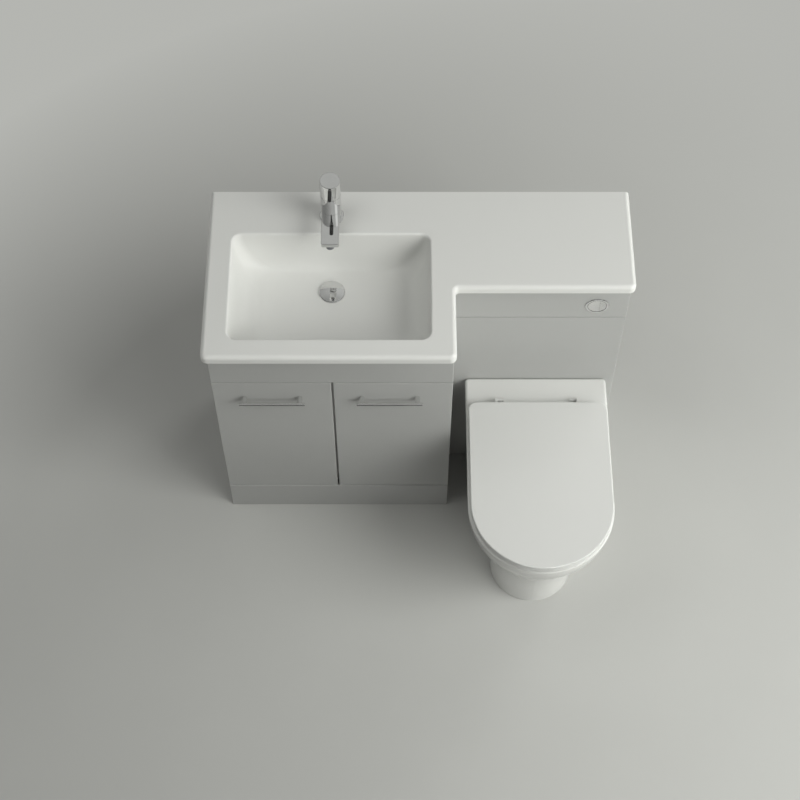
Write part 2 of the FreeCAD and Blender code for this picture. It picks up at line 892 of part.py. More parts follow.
# Two bent copper pipes from the tap down to the wall side of the cupboard, each with its nut
def copper_tails():
    pipes = []
    for way in (-1, 1):
        start = at(bowl_middle + tail_spread * way, tap_y - tail_back, worktop_height)
        lower_z = worktop_height - tail_drop
        wall_x = bowl_middle + tail_wall_spread * way
        wall_y = wall - tail_wall_distance
        points = [start,
                  at(start.x, start.y, start.z - tail_end_length),
                  at(wall_x, wall_y, lower_z + tail_end_length),
                  at(wall_x, wall_y, lower_z)]
        pipe = bent_bar(points, tail_radius, tail_bend)
        nut = ring(tail_nut_radius, tail_radius + screw_hole_clearance, wall_x, wall_y, lower_z,
                   lower_z + tail_nut_length)
        pipes.extend([pipe, nut])
    return group(pipes)


# Waste and trap
def waste_body():
    x = bowl_middle
    top = bowl_floor + flange_height_above_floor
    flange = upright(flange_radius, x, drain_y, bowl_floor, top)
    flange = flange.makeFillet(flange_height_above_floor * half, edges_where(
        flange, lambda edge: lies_at(edge, top)))
    shank = upright(waste_radius, x, drain_y, bowl_floor - waste_length, bowl_floor)
    inner = waste_radius - waste_wall
    bore = upright(inner, x, drain_y, bowl_floor - waste_length - overrun, top + overrun)
    body = join(flange, [shank]).cut(bore)
    hub_top = bowl_floor - spider_below_floor
    hub_radius = plug_stem_radius + plug_stem_fit + spider_hub_wall
    hub = upright(hub_radius, x, drain_y, hub_top - spider_height, hub_top)
    arms = [box(x - inner - waste_wall * half, x + inner + waste_wall * half, drain_y - spider_arm * half,
                drain_y + spider_arm * half, hub_top - spider_height, hub_top),
            box(x - spider_arm * half, x + spider_arm * half, drain_y - inner - waste_wall * half,
                drain_y + inner + waste_wall * half, hub_top - spider_height, hub_top)]
    body = join(body, [hub] + arms)
    return body.cut(upright(plug_stem_radius + plug_stem_fit, x, drain_y, hub_top - spider_height - overrun,
                            hub_top + overrun))


# The plug rests closed on the waste, and its stem stays in the hub when it rises by its travel
def waste_plug():
    x = bowl_middle
    under = bowl_floor + flange_height_above_floor + plug_seat_gap
    stem_bottom = bowl_floor - spider_below_floor - spider_height - plug_travel
    cap = upright(plug_radius, x, drain_y, under, under + plug_thickness)
    sphere_radius = (plug_radius ** 2 + plug_dome ** 2) / (2 * plug_dome)
    dome = Part.makeSphere(sphere_radius, at(x, drain_y, under + plug_thickness + plug_dome - sphere_radius))
    above = upright(plug_radius, x, drain_y, under + plug_thickness * half, under + plug_thickness + plug_dome)
    stem = upright(plug_stem_radius, x, drain_y, stem_bottom, under + plug_thickness * half)
    return join(cap, [dome.common(above), stem])


trap_top = bowl_floor - waste_length + trap_overlap
trap_shoulder = trap_top - trap_neck_height
trap_bottom = trap_shoulder - trap_height
trap_outlet_z = trap_shoulder - trap_outlet_drop


def bottle_trap():
    x = bowl_middle
    bottle = upright(trap_radius, x, drain_y, trap_bottom, trap_shoulder)
    neck = upright(trap_neck_radius, x, drain_y, trap_shoulder, trap_top)
    outlet = rod(trap_outlet_radius, at(x, drain_y, trap_outlet_z), at(x, wall, trap_outlet_z))
    body = join(bottle, [neck, outlet])
    hollow = upright(trap_radius - trap_wall, x, drain_y, trap_bottom + trap_wall, trap_shoulder - trap_wall)
    mouth = upright(waste_radius + thread_fit, x, drain_y,
                    trap_shoulder - trap_wall - overrun, trap_top + overrun)
    bore = rod(trap_outlet_radius - trap_wall, at(x, drain_y, trap_outlet_z),
               at(x, wall + overrun, trap_outlet_z))
    return body.cut([hollow, mouth, bore])


def waste_nuts():
    x = bowl_middle
    inlet = ring(trap_nut_radius, trap_neck_radius + thread_fit, x, drain_y,
                 trap_top - trap_nut_height, trap_top)
    cup = upright(trap_cup_radius, x, drain_y, trap_bottom - trap_wall, trap_bottom + trap_cup_height)
    cup = cup.cut(upright(trap_radius + thread_fit, x, drain_y,
                          trap_bottom, trap_bottom + trap_cup_height + overrun))
    nut_start = drain_y + trap_radius + trap_wall + thread_fit
    outlet = tube(outlet_nut_radius, trap_outlet_radius + thread_fit, at(x, nut_start, trap_outlet_z),
                  at(x, nut_start + outlet_nut_length, trap_outlet_z))
    back_nut = ring(back_nut_radius, waste_radius + thread_fit, x, drain_y,
                    shell_bottom - back_nut_thickness, shell_bottom)
    return group([back_nut, inlet, cup, outlet])


# Toilet unit
def wc_side(x):
    return box(x, x + board, wc_panel_back, wall, 0, worktop_under)


wc_rail_z = worktop_under - wc_rail_height * half


def wc_back_rail():
    rail = box(wc_left + board, wc_right - board, wall - board, wall,
               worktop_under - wc_rail_height, worktop_under)
    return rail.cut(wall_holes(wc_left + board + wc_hole_inset, wc_right - board - wc_hole_inset, wc_rail_z))


def wc_cistern_shelf():
    shelf = box(wc_left + board, wc_right - board, tank_front - board, wall,
                cistern_shelf_height, tank_bottom)
    outlet = upright(flush_pipe_radius + panel_hole_fit, pan_middle, tank_middle,
                     cistern_shelf_height - overrun, tank_bottom + overrun)
    inlet = upright(fill_shank_radius + panel_hole_fit, pan_middle - fill_valve_offset, tank_middle,
                    cistern_shelf_height - overrun, tank_bottom + overrun)
    return shelf.cut([outlet, inlet])


def wc_fascia():
    panel = soft_front(box(wc_left, wc_right, wc_face, wc_panel_back, wc_line_height + front_gap * half,
                           worktop_under - worktop_gap))
    return panel.cut(rod(housing_radius + panel_hole_fit, at(button_x, wc_face - overrun, button_height),
                         at(button_x, wc_panel_back + overrun, button_height)))


def wc_front_panel():
    panel = soft_front(box(wc_left, wc_right, wc_face, wc_panel_back, 0, wc_line_height - front_gap * half))
    flush = rod(flush_hole_radius, at(pan_middle, wc_face - overrun, flush_inlet_height),
                at(pan_middle, wc_panel_back + overrun, flush_inlet_height))
    soil = rod(connector_hole_radius, at(pan_middle, wc_face - overrun, outlet_height),
               at(pan_middle, wc_panel_back + overrun, outlet_height))
    return panel.cut([flush, soil])


def panel_clips():
    clips = []
    heights = (clip_from_floor, wc_line_height - clip_from_line, worktop_under - clip_from_top)
    for z in heights:
        for x in (wc_left + board, wc_right - board - clip_width):
            clips.append(box(x, x + clip_width, wc_panel_back, wc_panel_back + clip_thickness,
                             z - clip_height * half, z + clip_height * half))
    return group(clips)


# Cistern
def cistern_tank():
    x0 = pan_middle - tank_width * half
    x1 = pan_middle + tank_width * half
    outer = raised(rounded_outline(x0, x1, tank_front, tank_back, tank_corner, tank_bottom), tank_height)
    inner = raised(rounded_outline(x0 + tank_wall, x1 - tank_wall,
                                   tank_front + tank_wall, tank_back - tank_wall,
                                   tank_corner - tank_wall, tank_bottom + tank_wall), tank_height)
    outlet = upright(flush_pipe_radius + panel_hole_fit, pan_middle, tank_middle,
                     tank_bottom - overrun, tank_bottom + tank_wall + overrun)
    inlet = upright(fill_shank_radius + panel_hole_fit, pan_middle - fill_valve_offset, tank_middle,
                    tank_bottom - overrun, tank_bottom + tank_wall + overrun)
    return outer.cut([inner, outlet, inlet])


def cistern_lid():
    x0 = pan_middle - tank_width * half
    x1 = pan_middle + tank_width * half
    plate = raised(rounded_outline(x0, x1, tank_front, tank_back, tank_corner, tank_top), tank_lid_wall)
    inset = tank_wall + tank_lid_fit
    lip = raised(rounded_outline(x0 + inset, x1 - inset, tank_front + inset, tank_back - inset,
                                 tank_corner - inset, tank_top - tank_lid_height), tank_lid_height)
    inset = inset + tank_lid_wall
    lip = lip.cut(raised(rounded_outline(x0 + inset, x1 - inset, tank_front + inset, tank_back - inset,
                                         tank_corner - inset, tank_top - tank_lid_height - overrun),
                         tank_lid_height + overrun))
    return join(plate, [lip])


tank_floor = tank_bottom + tank_wall
fill_x = pan_middle - fill_valve_offset


def fill_valve():
    top = tank_top - fill_valve_top_room
    base = upright(fill_valve_base_radius, fill_x, tank_middle, tank_floor, tank_floor + fill_valve_base_height)
    column = upright(fill_valve_radius, fill_x, tank_middle, tank_floor, top)
    head = upright(fill_valve_head_radius, fill_x, tank_middle, top - fill_valve_head_height, top)
    shank = upright(fill_shank_radius, fill_x, tank_middle, tank_floor - fill_shank_length, tank_floor)
    return join(base, [column, head, shank])


# The float hangs low on the empty valve, just above its base
def fill_float():
    bottom = tank_floor + fill_valve_base_height + bumper_clearance
    return ring(float_radius, fill_valve_radius + float_fit, fill_x, tank_middle, bottom, bottom + float_height)


def flush_valve():
    top = tank_top - flush_tower_top_room
    tower = ring(flush_tower_radius, flush_tower_radius - flush_tower_wall, pan_middle, tank_middle,
                 tank_floor, top)
    seat = ring(flush_tower_radius, flush_pipe_radius - flush_pipe_wall, pan_middle, tank_middle,
                tank_floor, tank_floor + flush_seat_height)
    windows = []
    for way in (at(1, 0, 0), at(0, 1, 0)):
        reach = flush_tower_radius + overrun
        across = at(way.y, way.x, 0) * flush_window_width * half
        low = at(pan_middle, tank_middle, tank_floor + flush_seat_height + piston_disc) - way * reach - across
        high = at(pan_middle, tank_middle, low.z + flush_window_height) + way * reach + across
        windows.append(box(low.x, high.x, low.y, high.y, low.z, high.z))
    return join(tower.cut(windows), [seat])


# The piston closes the outlet and lifts when the full-flush button is pressed
def flush_piston():
    bottom = tank_floor + flush_seat_height + piston_lift
    disc = upright(flush_tower_radius - flush_tower_wall - piston_fit, pan_middle, tank_middle,
                   bottom, bottom + piston_disc)
    top = tank_top - piston_top_room
    column = upright(piston_tube_radius, pan_middle, tank_middle, bottom, top)
    bore = upright(piston_tube_radius - piston_tube_wall, pan_middle, tank_middle,
                   bottom - overrun, top + overrun)
    return join(disc, [column]).cut(bore)


def flush_pipe_points(start_z, end_y):
    return [at(pan_middle, tank_middle, start_z), at(pan_middle, tank_middle, flush_inlet_height),
            at(pan_middle, end_y, flush_inlet_height)]


def flush_pipe():
    end = pan_back - flush_pipe_into_pan
    outer = bent_bar(flush_pipe_points(tank_floor, end), flush_pipe_radius, flush_pipe_bend)
    inner = bent_bar(flush_pipe_points(tank_floor + overrun, end - overrun),
                     flush_pipe_radius - flush_pipe_wall, flush_pipe_bend)
    return outer.cut(inner)


def flush_cone():
    return tube(inlet_bore_radius - cone_fit, flush_pipe_radius + cone_fit,
                at(pan_middle, pan_back - cone_length, flush_inlet_height),
                at(pan_middle, wc_face + front_board * half, flush_inlet_height))


# Flush button
def button_housing():
    back = wc_face + housing_depth
    inner_back = back - housing_floor
    sleeve = rod(housing_radius, at(button_x, wc_face, button_height), at(button_x, back, button_height))
    sleeve = sleeve.cut(rod(bezel_inner, at(button_x, wc_face - overrun, button_height),
                            at(button_x, inner_back, button_height)))
    nut = tube(housing_nut_radius, housing_radius - housing_wall * half,
               at(button_x, wc_panel_back, button_height),
               at(button_x, wc_panel_back + housing_nut_thickness, button_height))
    return join(sleeve, [nut])


def button_bezel():
    front = wc_face - bezel_proud
    face = tube(bezel_radius, bezel_inner, at(button_x, front, button_height),
                at(button_x, wc_face, button_height))
    return face.makeFillet(bezel_round, edges_where(face, lambda edge: at_depth(edge, front)))


def button_disc():
    front = wc_face - button_proud
    disc = rod(button_radius, at(button_x, front, button_height),
               at(button_x, front + button_length, button_height))
    return disc.makeFillet(button_round, edges_where(disc, lambda edge: at_depth(edge, front)))


def button_piece(x0, x1):
    front = wc_face - button_proud
    reach = button_radius + overrun
    return button_disc().common(box(x0, x1, front - overrun, front + button_length + overrun,
                                    button_height - reach, button_height + reach))


def full_flush_button():
    return button_piece(button_x - button_radius - overrun, button_x + button_split - button_split_gap * half)


def half_flush_button():
    return button_piece(button_x + button_split + button_split_gap * half, button_x + button_radius + overrun)


# Two air tubes rise from the housing and come down on the cistern lid above the flush valve
def air_tubes():
    tubes = []
    start_y = wc_face + housing_depth - housing_floor - air_tube_radius * 2
    for way in (-1, 1):
        x = button_x + air_tube_spread * way
        start_z = button_height + math.sqrt(housing_radius ** 2 - (air_tube_spread - air_tube_radius) ** 2)
        top_z = button_height + housing_radius + air_tube_rise
        end_x = pan_middle + air_tube_reach + air_tube_spread * way
        points = [at(x, start_y, start_z), at(x, start_y, top_z), at(end_x, tank_middle, top_z),
                  at(end_x, tank_middle, tank_top + tank_lid_wall)]
        tubes.append(bent_bar(points, air_tube_radius, air_tube_bend))
    return group(tubes)


# Toilet pan
def pan_body(inset):
    wires = []
    for level, width, length in zip(pan_level_shares, pan_width_shares, pan_length_shares):
        wires.append(d_outline(pan_middle, pan_half_width * width - inset, pan_back - inset,
                               pan_back - pan_length * length + inset, pan_back_corner, pan_height * level))
    return loft(wires)


def pan_bowl(grow):
    wires = []
    depth = pan_height - sump_height
    shares = zip(pan_bowl_level_shares, pan_bowl_width_shares, pan_bowl_front_shares, pan_bowl_back_shares)
    for level, width, front, back in shares:
        half_width = bowl_opening_half * width + grow
        y_back = pan_back - bowl_opening_back - pan_length * back + grow
        y_front = pan_front + bowl_opening_front + pan_length * front - grow
        corner = min(bowl_opening_corner, half_width - bowl_opening_front * half)
        wires.append(d_outline(pan_middle, half_width, y_back, y_front, corner,
                               sump_height - grow + (depth + grow) * level))
    return loft(wires)


def trapway(radius, back):
    sump_y = pan_back - bowl_opening_back - pan_length * pan_bowl_back_shares[0]
    start = at(pan_middle, sump_y - trapway_first_run, sump_height + trapway_start_rise)
    points = [start,
              at(pan_middle, sump_y, sump_height + trapway_weir_rise),
              at(pan_middle, sump_y + trapway_fall_run, outlet_height),
              at(pan_middle, back, outlet_height)]
    return bent_bar(points, radius, trapway_bend)


def toilet_pan():
    outer = pan_body(0)
    outer = outer.makeFillet(pan_rim_round, edges_where(
        outer, lambda edge: lies_at(edge, pan_height) and edge.BoundBox.YMin < pan_back - overrun))
    below = box(pan_middle - pan_half_width, pan_middle + pan_half_width, pan_front, pan_back,
                0, pan_cavity_height)
    hollow = pan_body(pan_wall).common(below).cut(pan_bowl(pan_bowl_wall))
    spigot_end = pan_back + outlet_spigot
    pan = outer.cut(hollow)
    pan = join(pan, [trapway(trapway_radius + trapway_wall, spigot_end)])
    pan = pan.cut([pan_bowl(0), trapway(trapway_radius, spigot_end + overrun)])
    inlet_end = pan_back - inlet_bore_depth
    boss = rod(inlet_bore_radius + pan_bowl_wall, at(pan_middle, inlet_end - pan_bowl_wall, flush_inlet_height),
               at(pan_middle, pan_back - pan_wall * half, flush_inlet_height))
    passage_end = pan_back - bowl_opening_back - pan_bowl_wall
    bore = rod(inlet_bore_radius, at(pan_middle, inlet_end, flush_inlet_height),
               at(pan_middle, pan_back + overrun, flush_inlet_height))
    passage = rod(flush_passage_radius, at(pan_middle, passage_end, flush_inlet_height),
                  at(pan_middle, inlet_end + overrun, flush_inlet_height))
    pan = join(pan, [boss])
    return pan.cut([bore, passage] + pan_fixing_caps().Solids)


# Caps over the two side screws that hold the pan to the floor
def pan_fixing_caps():
    reach = pan_half_width * pan_width_shares[0] + fixing_cap_proud
    y = pan_back - fixing_from_back
    caps = []
    for way in (-1, 1):
        outer = at(pan_middle + reach * way, y, fixing_height)
        inner = at(pan_middle + (reach - fixing_cap_depth) * way, y, fixing_height)
        caps.append(rod(fixing_cap_radius, inner, outer))
    return group(caps)


# Seat and lid
def seat_outline(inset, z):
    return d_outline(pan_middle, seat_half_width - inset, seat_back_y - inset, seat_front_y + inset,
                     seat_corner - inset, z)


def hinge_ear(x, z0, z1):
    barrel = rod(hinge_ear_radius, at(x, hinge_y, hinge_z), at(x + hinge_ear_width, hinge_y, hinge_z))
    strap = box(x, x + hinge_ear_width, seat_back_y - hinge_ear_radius, hinge_y, z0, z1)
    return join(barrel, [strap])


def hinge_bores(radius):
    return [rod(radius, at(x - hinge_pin_length, hinge_y, hinge_z), at(x + hinge_pin_length, hinge_y, hinge_z))
            for x in hinge_places]


def toilet_seat():
    slab = raised(seat_outline(seat_tuck, seat_bottom), seat_thickness)
    hole = raised(d_outline(pan_middle, seat_hole_half, pan_back - seat_hole_back, pan_front + seat_hole_front,
                            seat_hole_corner, seat_bottom - overrun), seat_thickness + overrun * 2)
    seat = slab.cut(hole)
    seat = seat.makeFillet(seat_round, edges_where(seat, lambda edge: lies_at(edge, seat_top)))
    inner = hinge_post_width * half + hinge_ear_gap
    ears = [hinge_ear(x - inner - hinge_ear_width if x > pan_middle else x + inner, seat_bottom, hinge_z)
            for x in hinge_places]
    return join(seat, ears).cut(hinge_bores(hinge_pin_radius + hinge_pin_fit))


def toilet_lid():
    lid = raised(seat_outline(0, lid_bottom), lid_thickness)
    lid = lid.makeFillet(lid_top_round, edges_where(lid, lambda edge: lies_at(edge, lid_top)))
    lid = lid.makeFillet(lid_under_round, edges_where(lid, lambda edge: lies_at(edge, lid_bottom)))
    inner = hinge_post_width * half + hinge_ear_gap
    ears = []
    for x in hinge_places:
        start = x + inner if x > pan_middle else x - inner - hinge_ear_width
        barrel = rod(hinge_ear_radius, at(start, hinge_y, hinge_z),
                     at(start + hinge_ear_width, hinge_y, hinge_z))
        strap = box(start, start + hinge_ear_width, seat_back_y - lid_thickness, hinge_y, lid_bottom,
                    lid_bottom + lid_strap_thickness)
        strap = strap.makeFillet(lid_strap_round, edges_where(
            strap, lambda edge: lies_at(edge, lid_bottom + lid_strap_thickness) and at_depth(edge, hinge_y)))
        web = box(start, start + hinge_ear_width, seat_back_y + hinge_ear_gap, hinge_y, hinge_z, lid_bottom)
        ears.append(join(barrel, [strap, web]))
    return join(lid, ears).cut(hinge_bores(hinge_pin_radius + hinge_pin_fit))


def seat_hinge_posts():
    posts = []
    for x in hinge_places:
        base = upright(hinge_base_radius, x, hinge_y, pan_height, pan_height + hinge_base_height)
        base = base.cut(box(x - hinge_base_radius * 2, x + hinge_base_radius * 2,
                            hinge_y - hinge_base_radius * 2, hinge_y - hinge_ear_radius,
                            pan_height - overrun, pan_height + hinge_base_height + overrun))
        stalk = box(x - hinge_post_width * half, x + hinge_post_width * half, hinge_y - hinge_ear_radius,
                    hinge_y + hinge_ear_radius, pan_height, hinge_z)
        crown = rod(hinge_ear_radius, at(x - hinge_post_width * half, hinge_y, hinge_z),
                    at(x + hinge_post_width * half, hinge_y, hinge_z))
        posts.append(join(base, [stalk, crown]))
    return group(posts).cut(hinge_bores(hinge_pin_radius))


def seat_hinge_pins():
    return group([rod(hinge_pin_radius, at(x - hinge_pin_length * half, hinge_y, hinge_z),
                      at(x + hinge_pin_length * half, hinge_y, hinge_z)) for x in hinge_places])


def seat_buffers():
    reach = seat_half_width - buffer_side
    return group([upright(buffer_radius, pan_middle + reach * way, y, pan_height, seat_bottom)
                  for way in (-1, 1) for y in (pan_back - buffer_back, seat_front_y + buffer_front)])


def soil_connector():
    socket_start = wc_face + front_board * half
    socket_end = socket_start + connector_socket_length
    socket = rod(connector_socket_radius, at(pan_middle, socket_start, outlet_height),
                 at(pan_middle, socket_end, outlet_height))
    pipe = rod(connector_radius, at(pan_middle, socket_end, outlet_height), at(pan_middle, wall, outlet_height))
    body = join(socket, [pipe])
    spigot = rod(trapway_radius + trapway_wall + connector_fit,
                 at(pan_middle, socket_start - overrun, outlet_height),
                 at(pan_middle, socket_end, outlet_height))
    bore = rod(connector_bore_radius, at(pan_middle, socket_start, outlet_height),
               at(pan_middle, wall + overrun, outlet_height))
    return body.cut([spigot, bore])


nodes = {
    "basin_top": basin_top(),
    "vanity_side_left": vanity_side(vanity_left),
    "vanity_side_right": drilled_for_bolts(vanity_side(vanity_right - board)),
    "vanity_base": vanity_base(),
    "vanity_back_rail": vanity_back_rail(),
    "vanity_front_rail": vanity_front_rail(),
    "vanity_fascia": vanity_fascia(),
    "vanity_plinth": vanity_plinth(),
    "left_door": door_leaf(left_handle_inward),
    "left_handle": bar_handle(left_handle_inward),
    "left_handle_screws": handle_screws(left_handle_inward),
    "left_hinge_cups": left_hinge_cups(),
    "left_hinge_arms": left_hinge_arms(),
    "door_bumpers": door_bumpers(),
    "corner_brackets": corner_brackets(),
    "unit_joining_bolts": unit_joining_bolts(),
    "tap_body": tap_body(),
    "tap_aerator": tap_aerator(),
    "tap_cartridge": tap_cartridge(),
    "tap_lever": tap_lever(),
    "tap_fixings": tap_fixings(),
    "copper_tails": copper_tails(),
    "waste_body": waste_body(),
    "waste_plug": waste_plug(),
    "bottle_trap": bottle_trap(),
    "waste_nuts": waste_nuts(),
    "wc_side_left": drilled_for_bolts(wc_side(wc_left)),
    "wc_side_right": wc_side(wc_right - board),
    "wc_back_rail": wc_back_rail(),
    "wc_cistern_shelf": wc_cistern_shelf(),
    "wc_fascia": wc_fascia(),
    "wc_front_panel": wc_front_panel(),
    "panel_clips": panel_clips(),
    "cistern_tank": cistern_tank(),
    "cistern_lid": cistern_lid(),
    "fill_valve": fill_valve(),
    "fill_float": fill_float(),
    "flush_valve": flush_valve(),
    "flush_piston": flush_piston(),
    "flush_pipe": flush_pipe(),
    "flush_cone": flush_cone(),
    "button_housing": button_housing(),
    "button_bezel": button_bezel(),
    "full_flush_button": full_flush_button(),
    "half_flush_button": half_flush_button(),
    "air_tubes": air_tubes(),
    "toilet_pan": toilet_pan(),
    "pan_fixing_caps": pan_fixing_caps(),
    "toilet_seat": toilet_seat(),
    "toilet_lid": toilet_lid(),
    "seat_hinge_posts": seat_hinge_posts(),
    "seat_hinge_pins": seat_hinge_pins(),
    "seat_buffers": seat_buffers(),
    "soil_connector": soil_connector(),
}
nodes["right_door"] = mirrored(door_leaf(right_handle_inward), vanity_middle)
nodes["right_handle"] = mirrored(bar_handle(right_handle_inward), vanity_middle)
nodes["right_handle_screws"] = mirrored(handle_screws(right_handle_inward), vanity_middle)
nodes["right_hinge_cups"] = mirrored(nodes["left_hinge_cups"], vanity_middle)
nodes["right_hinge_arms"] = mirrored(nodes["left_hinge_arms"], vanity_middle)

os.makedirs("parts", exist_ok=True)
for name, shape in nodes.items():
    shape.exportStep("parts/" + name + ".step")
    print(name, len(shape.Solids), round(shape.Volume), shape.isValid())
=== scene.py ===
import json
import math

import bmesh
import bpy
from mathutils import Matrix, Vector


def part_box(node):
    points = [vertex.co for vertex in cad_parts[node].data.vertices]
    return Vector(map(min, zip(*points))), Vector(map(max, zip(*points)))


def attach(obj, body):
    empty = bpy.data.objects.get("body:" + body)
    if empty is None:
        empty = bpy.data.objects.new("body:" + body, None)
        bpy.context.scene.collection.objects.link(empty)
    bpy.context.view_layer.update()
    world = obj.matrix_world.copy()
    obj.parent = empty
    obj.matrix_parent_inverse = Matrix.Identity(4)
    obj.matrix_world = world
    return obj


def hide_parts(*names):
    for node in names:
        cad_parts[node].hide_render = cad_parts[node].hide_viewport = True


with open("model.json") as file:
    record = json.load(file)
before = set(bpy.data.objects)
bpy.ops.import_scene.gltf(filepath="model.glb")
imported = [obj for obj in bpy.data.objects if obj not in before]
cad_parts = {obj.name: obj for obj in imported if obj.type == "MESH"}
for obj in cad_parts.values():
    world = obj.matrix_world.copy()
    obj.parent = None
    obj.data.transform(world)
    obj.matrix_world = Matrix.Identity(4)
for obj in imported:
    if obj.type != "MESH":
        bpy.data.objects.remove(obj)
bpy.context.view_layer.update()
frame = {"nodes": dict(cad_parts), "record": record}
nodes = frame["nodes"]

MM = 0.001
UP = Vector((0, 0, 1))
DOWN = -UP
TO_WALL = Vector((0, 1, 0))
TO_ROOM = -TO_WALL
TO_RIGHT = Vector((1, 0, 0))

# Camera, with the photograph's own lens and place
IMAGE_WIDTH = 800
FOCAL_PIXELS = 1690.0
SENSOR_WIDTH = 36.0
CAMERA_TILT = math.radians(30.573)
CAMERA_PLACE = (-47.7 * MM, -2091.7 * MM, 4092.8 * MM)

# Floor, which fades into the background, and the painted dark reflection on it that only metal shows
FLOOR_REACH = 30.0
FLOOR_DROP = 0.3 * MM
FLOOR_COLOUR = (0.52, 0.52, 0.504)
FADE_CENTRE = (0.2, -0.4, 0.0)
FADE_EDGES = (1.35, 2.3)
BACKGROUND = (0.46, 0.465, 0.44)
PAINTED_REFLECTION_COLOUR = (0.05, 0.05, 0.049)
PAINTED_REFLECTION_CENTRE = (-0.3, -1.0, 0.0)
PAINTED_REFLECTION_EDGES = (0.95, 1.15)
PAINTED_REFLECTION_RIGHT_EDGES = (-0.05, 0.2)

# Sky: its light on the unit, and the (height, level) stops of what metal shows of it
SKY_LIGHT = 0.05
SKY_TINT = (0.985, 1.0, 0.96)
SKY_REFLECTED = [(0.0, 0.02), (0.35, 0.05), (0.55, 0.3), (0.7, 0.52), (0.86, 0.5), (0.94, 0.38),
                 (1.0, 0.34)]
SKY_SIDE_EDGES = (-0.7, 0.1)
SKY_LEFT_SHARE = 0.4
SKY_LIFT = [(0.0, 0.24), (0.3, 0.22), (0.5, 0.0)]
SKY_FRONT_EDGES = (-0.8, -0.4)
SOFT_BOX_TURN = 60
SOFT_BOX_HEIGHT = 42
SOFT_BOX_EDGES = (0.95, 0.99)
SOFT_BOX_LEVEL = 1.0

# Lamps on a dome round the unit: name, turn from the front towards the right, height angle, size, power
LAMP_TARGET = Vector((0, 0, 0.45))
LAMP_DISTANCE = 4.0
LAMP_COLOUR = (0.987, 1.0, 0.965)
LAMPS = [
    ("key", 60, 42, 2.4, 71.0),
    ("low_side", 75, 14, 2.4, 62.0),
    ("front", 35, 28, 2.4, 41.0),
    ("top_left", 280, 68, 2.4, 33.0),
    ("low_back", 142, 12, 2.0, 46.0),
    ("low_left", 270, 10, 2.0, 10.0),
]

# Colours
FRONT_GREY = (0.477, 0.479, 0.469)
STONE_WHITE = (0.785, 0.785, 0.765)
GLAZE_WHITE = (0.745, 0.745, 0.728)
SEAT_WHITE = (0.708, 0.708, 0.693)
CHIPBOARD = (0.52, 0.40, 0.27)
CHROME = (0.80, 0.80, 0.80)
DARK_CHROME = (0.10, 0.10, 0.10)
SATIN_PLATE = (0.76, 0.76, 0.755)
SATIN_HANDLE = (0.78, 0.78, 0.775)
ZINC = (0.56, 0.57, 0.58)
COPPER = (0.72, 0.40, 0.27)
BRASS = (0.70, 0.55, 0.28)
WHITE_PLASTIC = (0.76, 0.76, 0.74)
GREY_PLASTIC = (0.16, 0.165, 0.175)
RUBBER = (0.055, 0.055, 0.057)

# Finishes: the span of nearly all values of a noise, where a ramp's stop starts before it is set, how
# squarely a raw edge faces the wall, and how far the dark pin stands out of the tap's lever
NOISE_LOW = 0.3
NOISE_HIGH = 0.7
NEW_STOP = 0.5
RAW_EDGE_FACING = (0.8, 0.9)
LEVER_PIN_REACH = 27.5 * MM

# Meshes
WELD = 0.01 * MM
BEVEL_WIDTH = 0.6 * MM
BEVEL_SEGMENTS = 2
SHARP_ANGLE = math.radians(35)

# Cross-recessed screws, in shares of the head's radius and height, and their places
SCREW_RADIUS = 3.3 * MM
SCREW_HEIGHT = 1.5 * MM
HEAD_SIDES = 32
HEAD_WALL_SHARE = 0.4
HEAD_SHOULDER_RADIUS_SHARE = 0.88
HEAD_SHOULDER_HEIGHT_SHARE = 0.78
HEAD_CROWN_SHARE = 0.66
CROSS_LENGTH_SHARE = 0.55
CROSS_WIDTH_SHARE = 0.14
CROSS_TAPER = 0.8
CROSS_FLOOR_SHARE = 0.35
CUP_SCREW_REACH = 21.9 * MM
PLATE_THICKNESS = 4.0 * MM
PLATE_LENGTH = 36.0 * MM
PLATE_SCREW_REACH = 14.5 * MM
ARM_SCREW_INSETS = (9.0 * MM, 25.0 * MM)
HANDLE_SCREW_RADIUS = 4.0 * MM
HANDLE_SHANK_RADIUS = 2.0 * MM
HANDLE_SHANK_SIDES = 24

# Nuts and the thread of the waste
NUT_CHAMFER = 1.5 * MM
NUT_RIBS = 28
RIB_STEPS = 8
RIB_DEPTH_SHARE = 0.055
TRAP_NUT_BORES = (36.3 * MM, 20.3 * MM, 24.3 * MM, 20.8 * MM)
TRAP_CUP_FLOOR = 3.0 * MM
THREAD_PITCH = 2.0 * MM
THREAD_ROOT = 20.4 * MM
THREAD_CREST = 21.3 * MM
THREAD_SIDES = 64
HEX_SIDES = 72
HEX_SHARE = 1.17
HEX_LENGTH_SHARE = 0.72
TAIL_NUT_LENGTH = 22.0 * MM
TAIL_RADIUS = 5.6 * MM
STUD_RADIUS = 4.2 * MM
STUD_NUT_LENGTH = 8.0 * MM
STUD_NUT_RADIUS = 8.0 * MM

# Ring of the flush button
RING_INNER = 22.6 * MM
RING_FOOT = 0.4 * MM
RING_STEPS = 16
RING_SIDES = 128

# Mesh in the mouth of the tap
AERATOR_BORE = 8.0 * MM
AERATOR_INSET = 2.0 * MM
LATTICE_PITCH = 2.0 * MM
LATTICE_BAR = 0.6 * MM

# Pads under the lid
LID_THICKNESS = 12.0 * MM
LID_PAD_RADIUS = 8.0 * MM
LID_PAD_HEIGHT = 0.8 * MM
LID_PAD_SIDES = 32

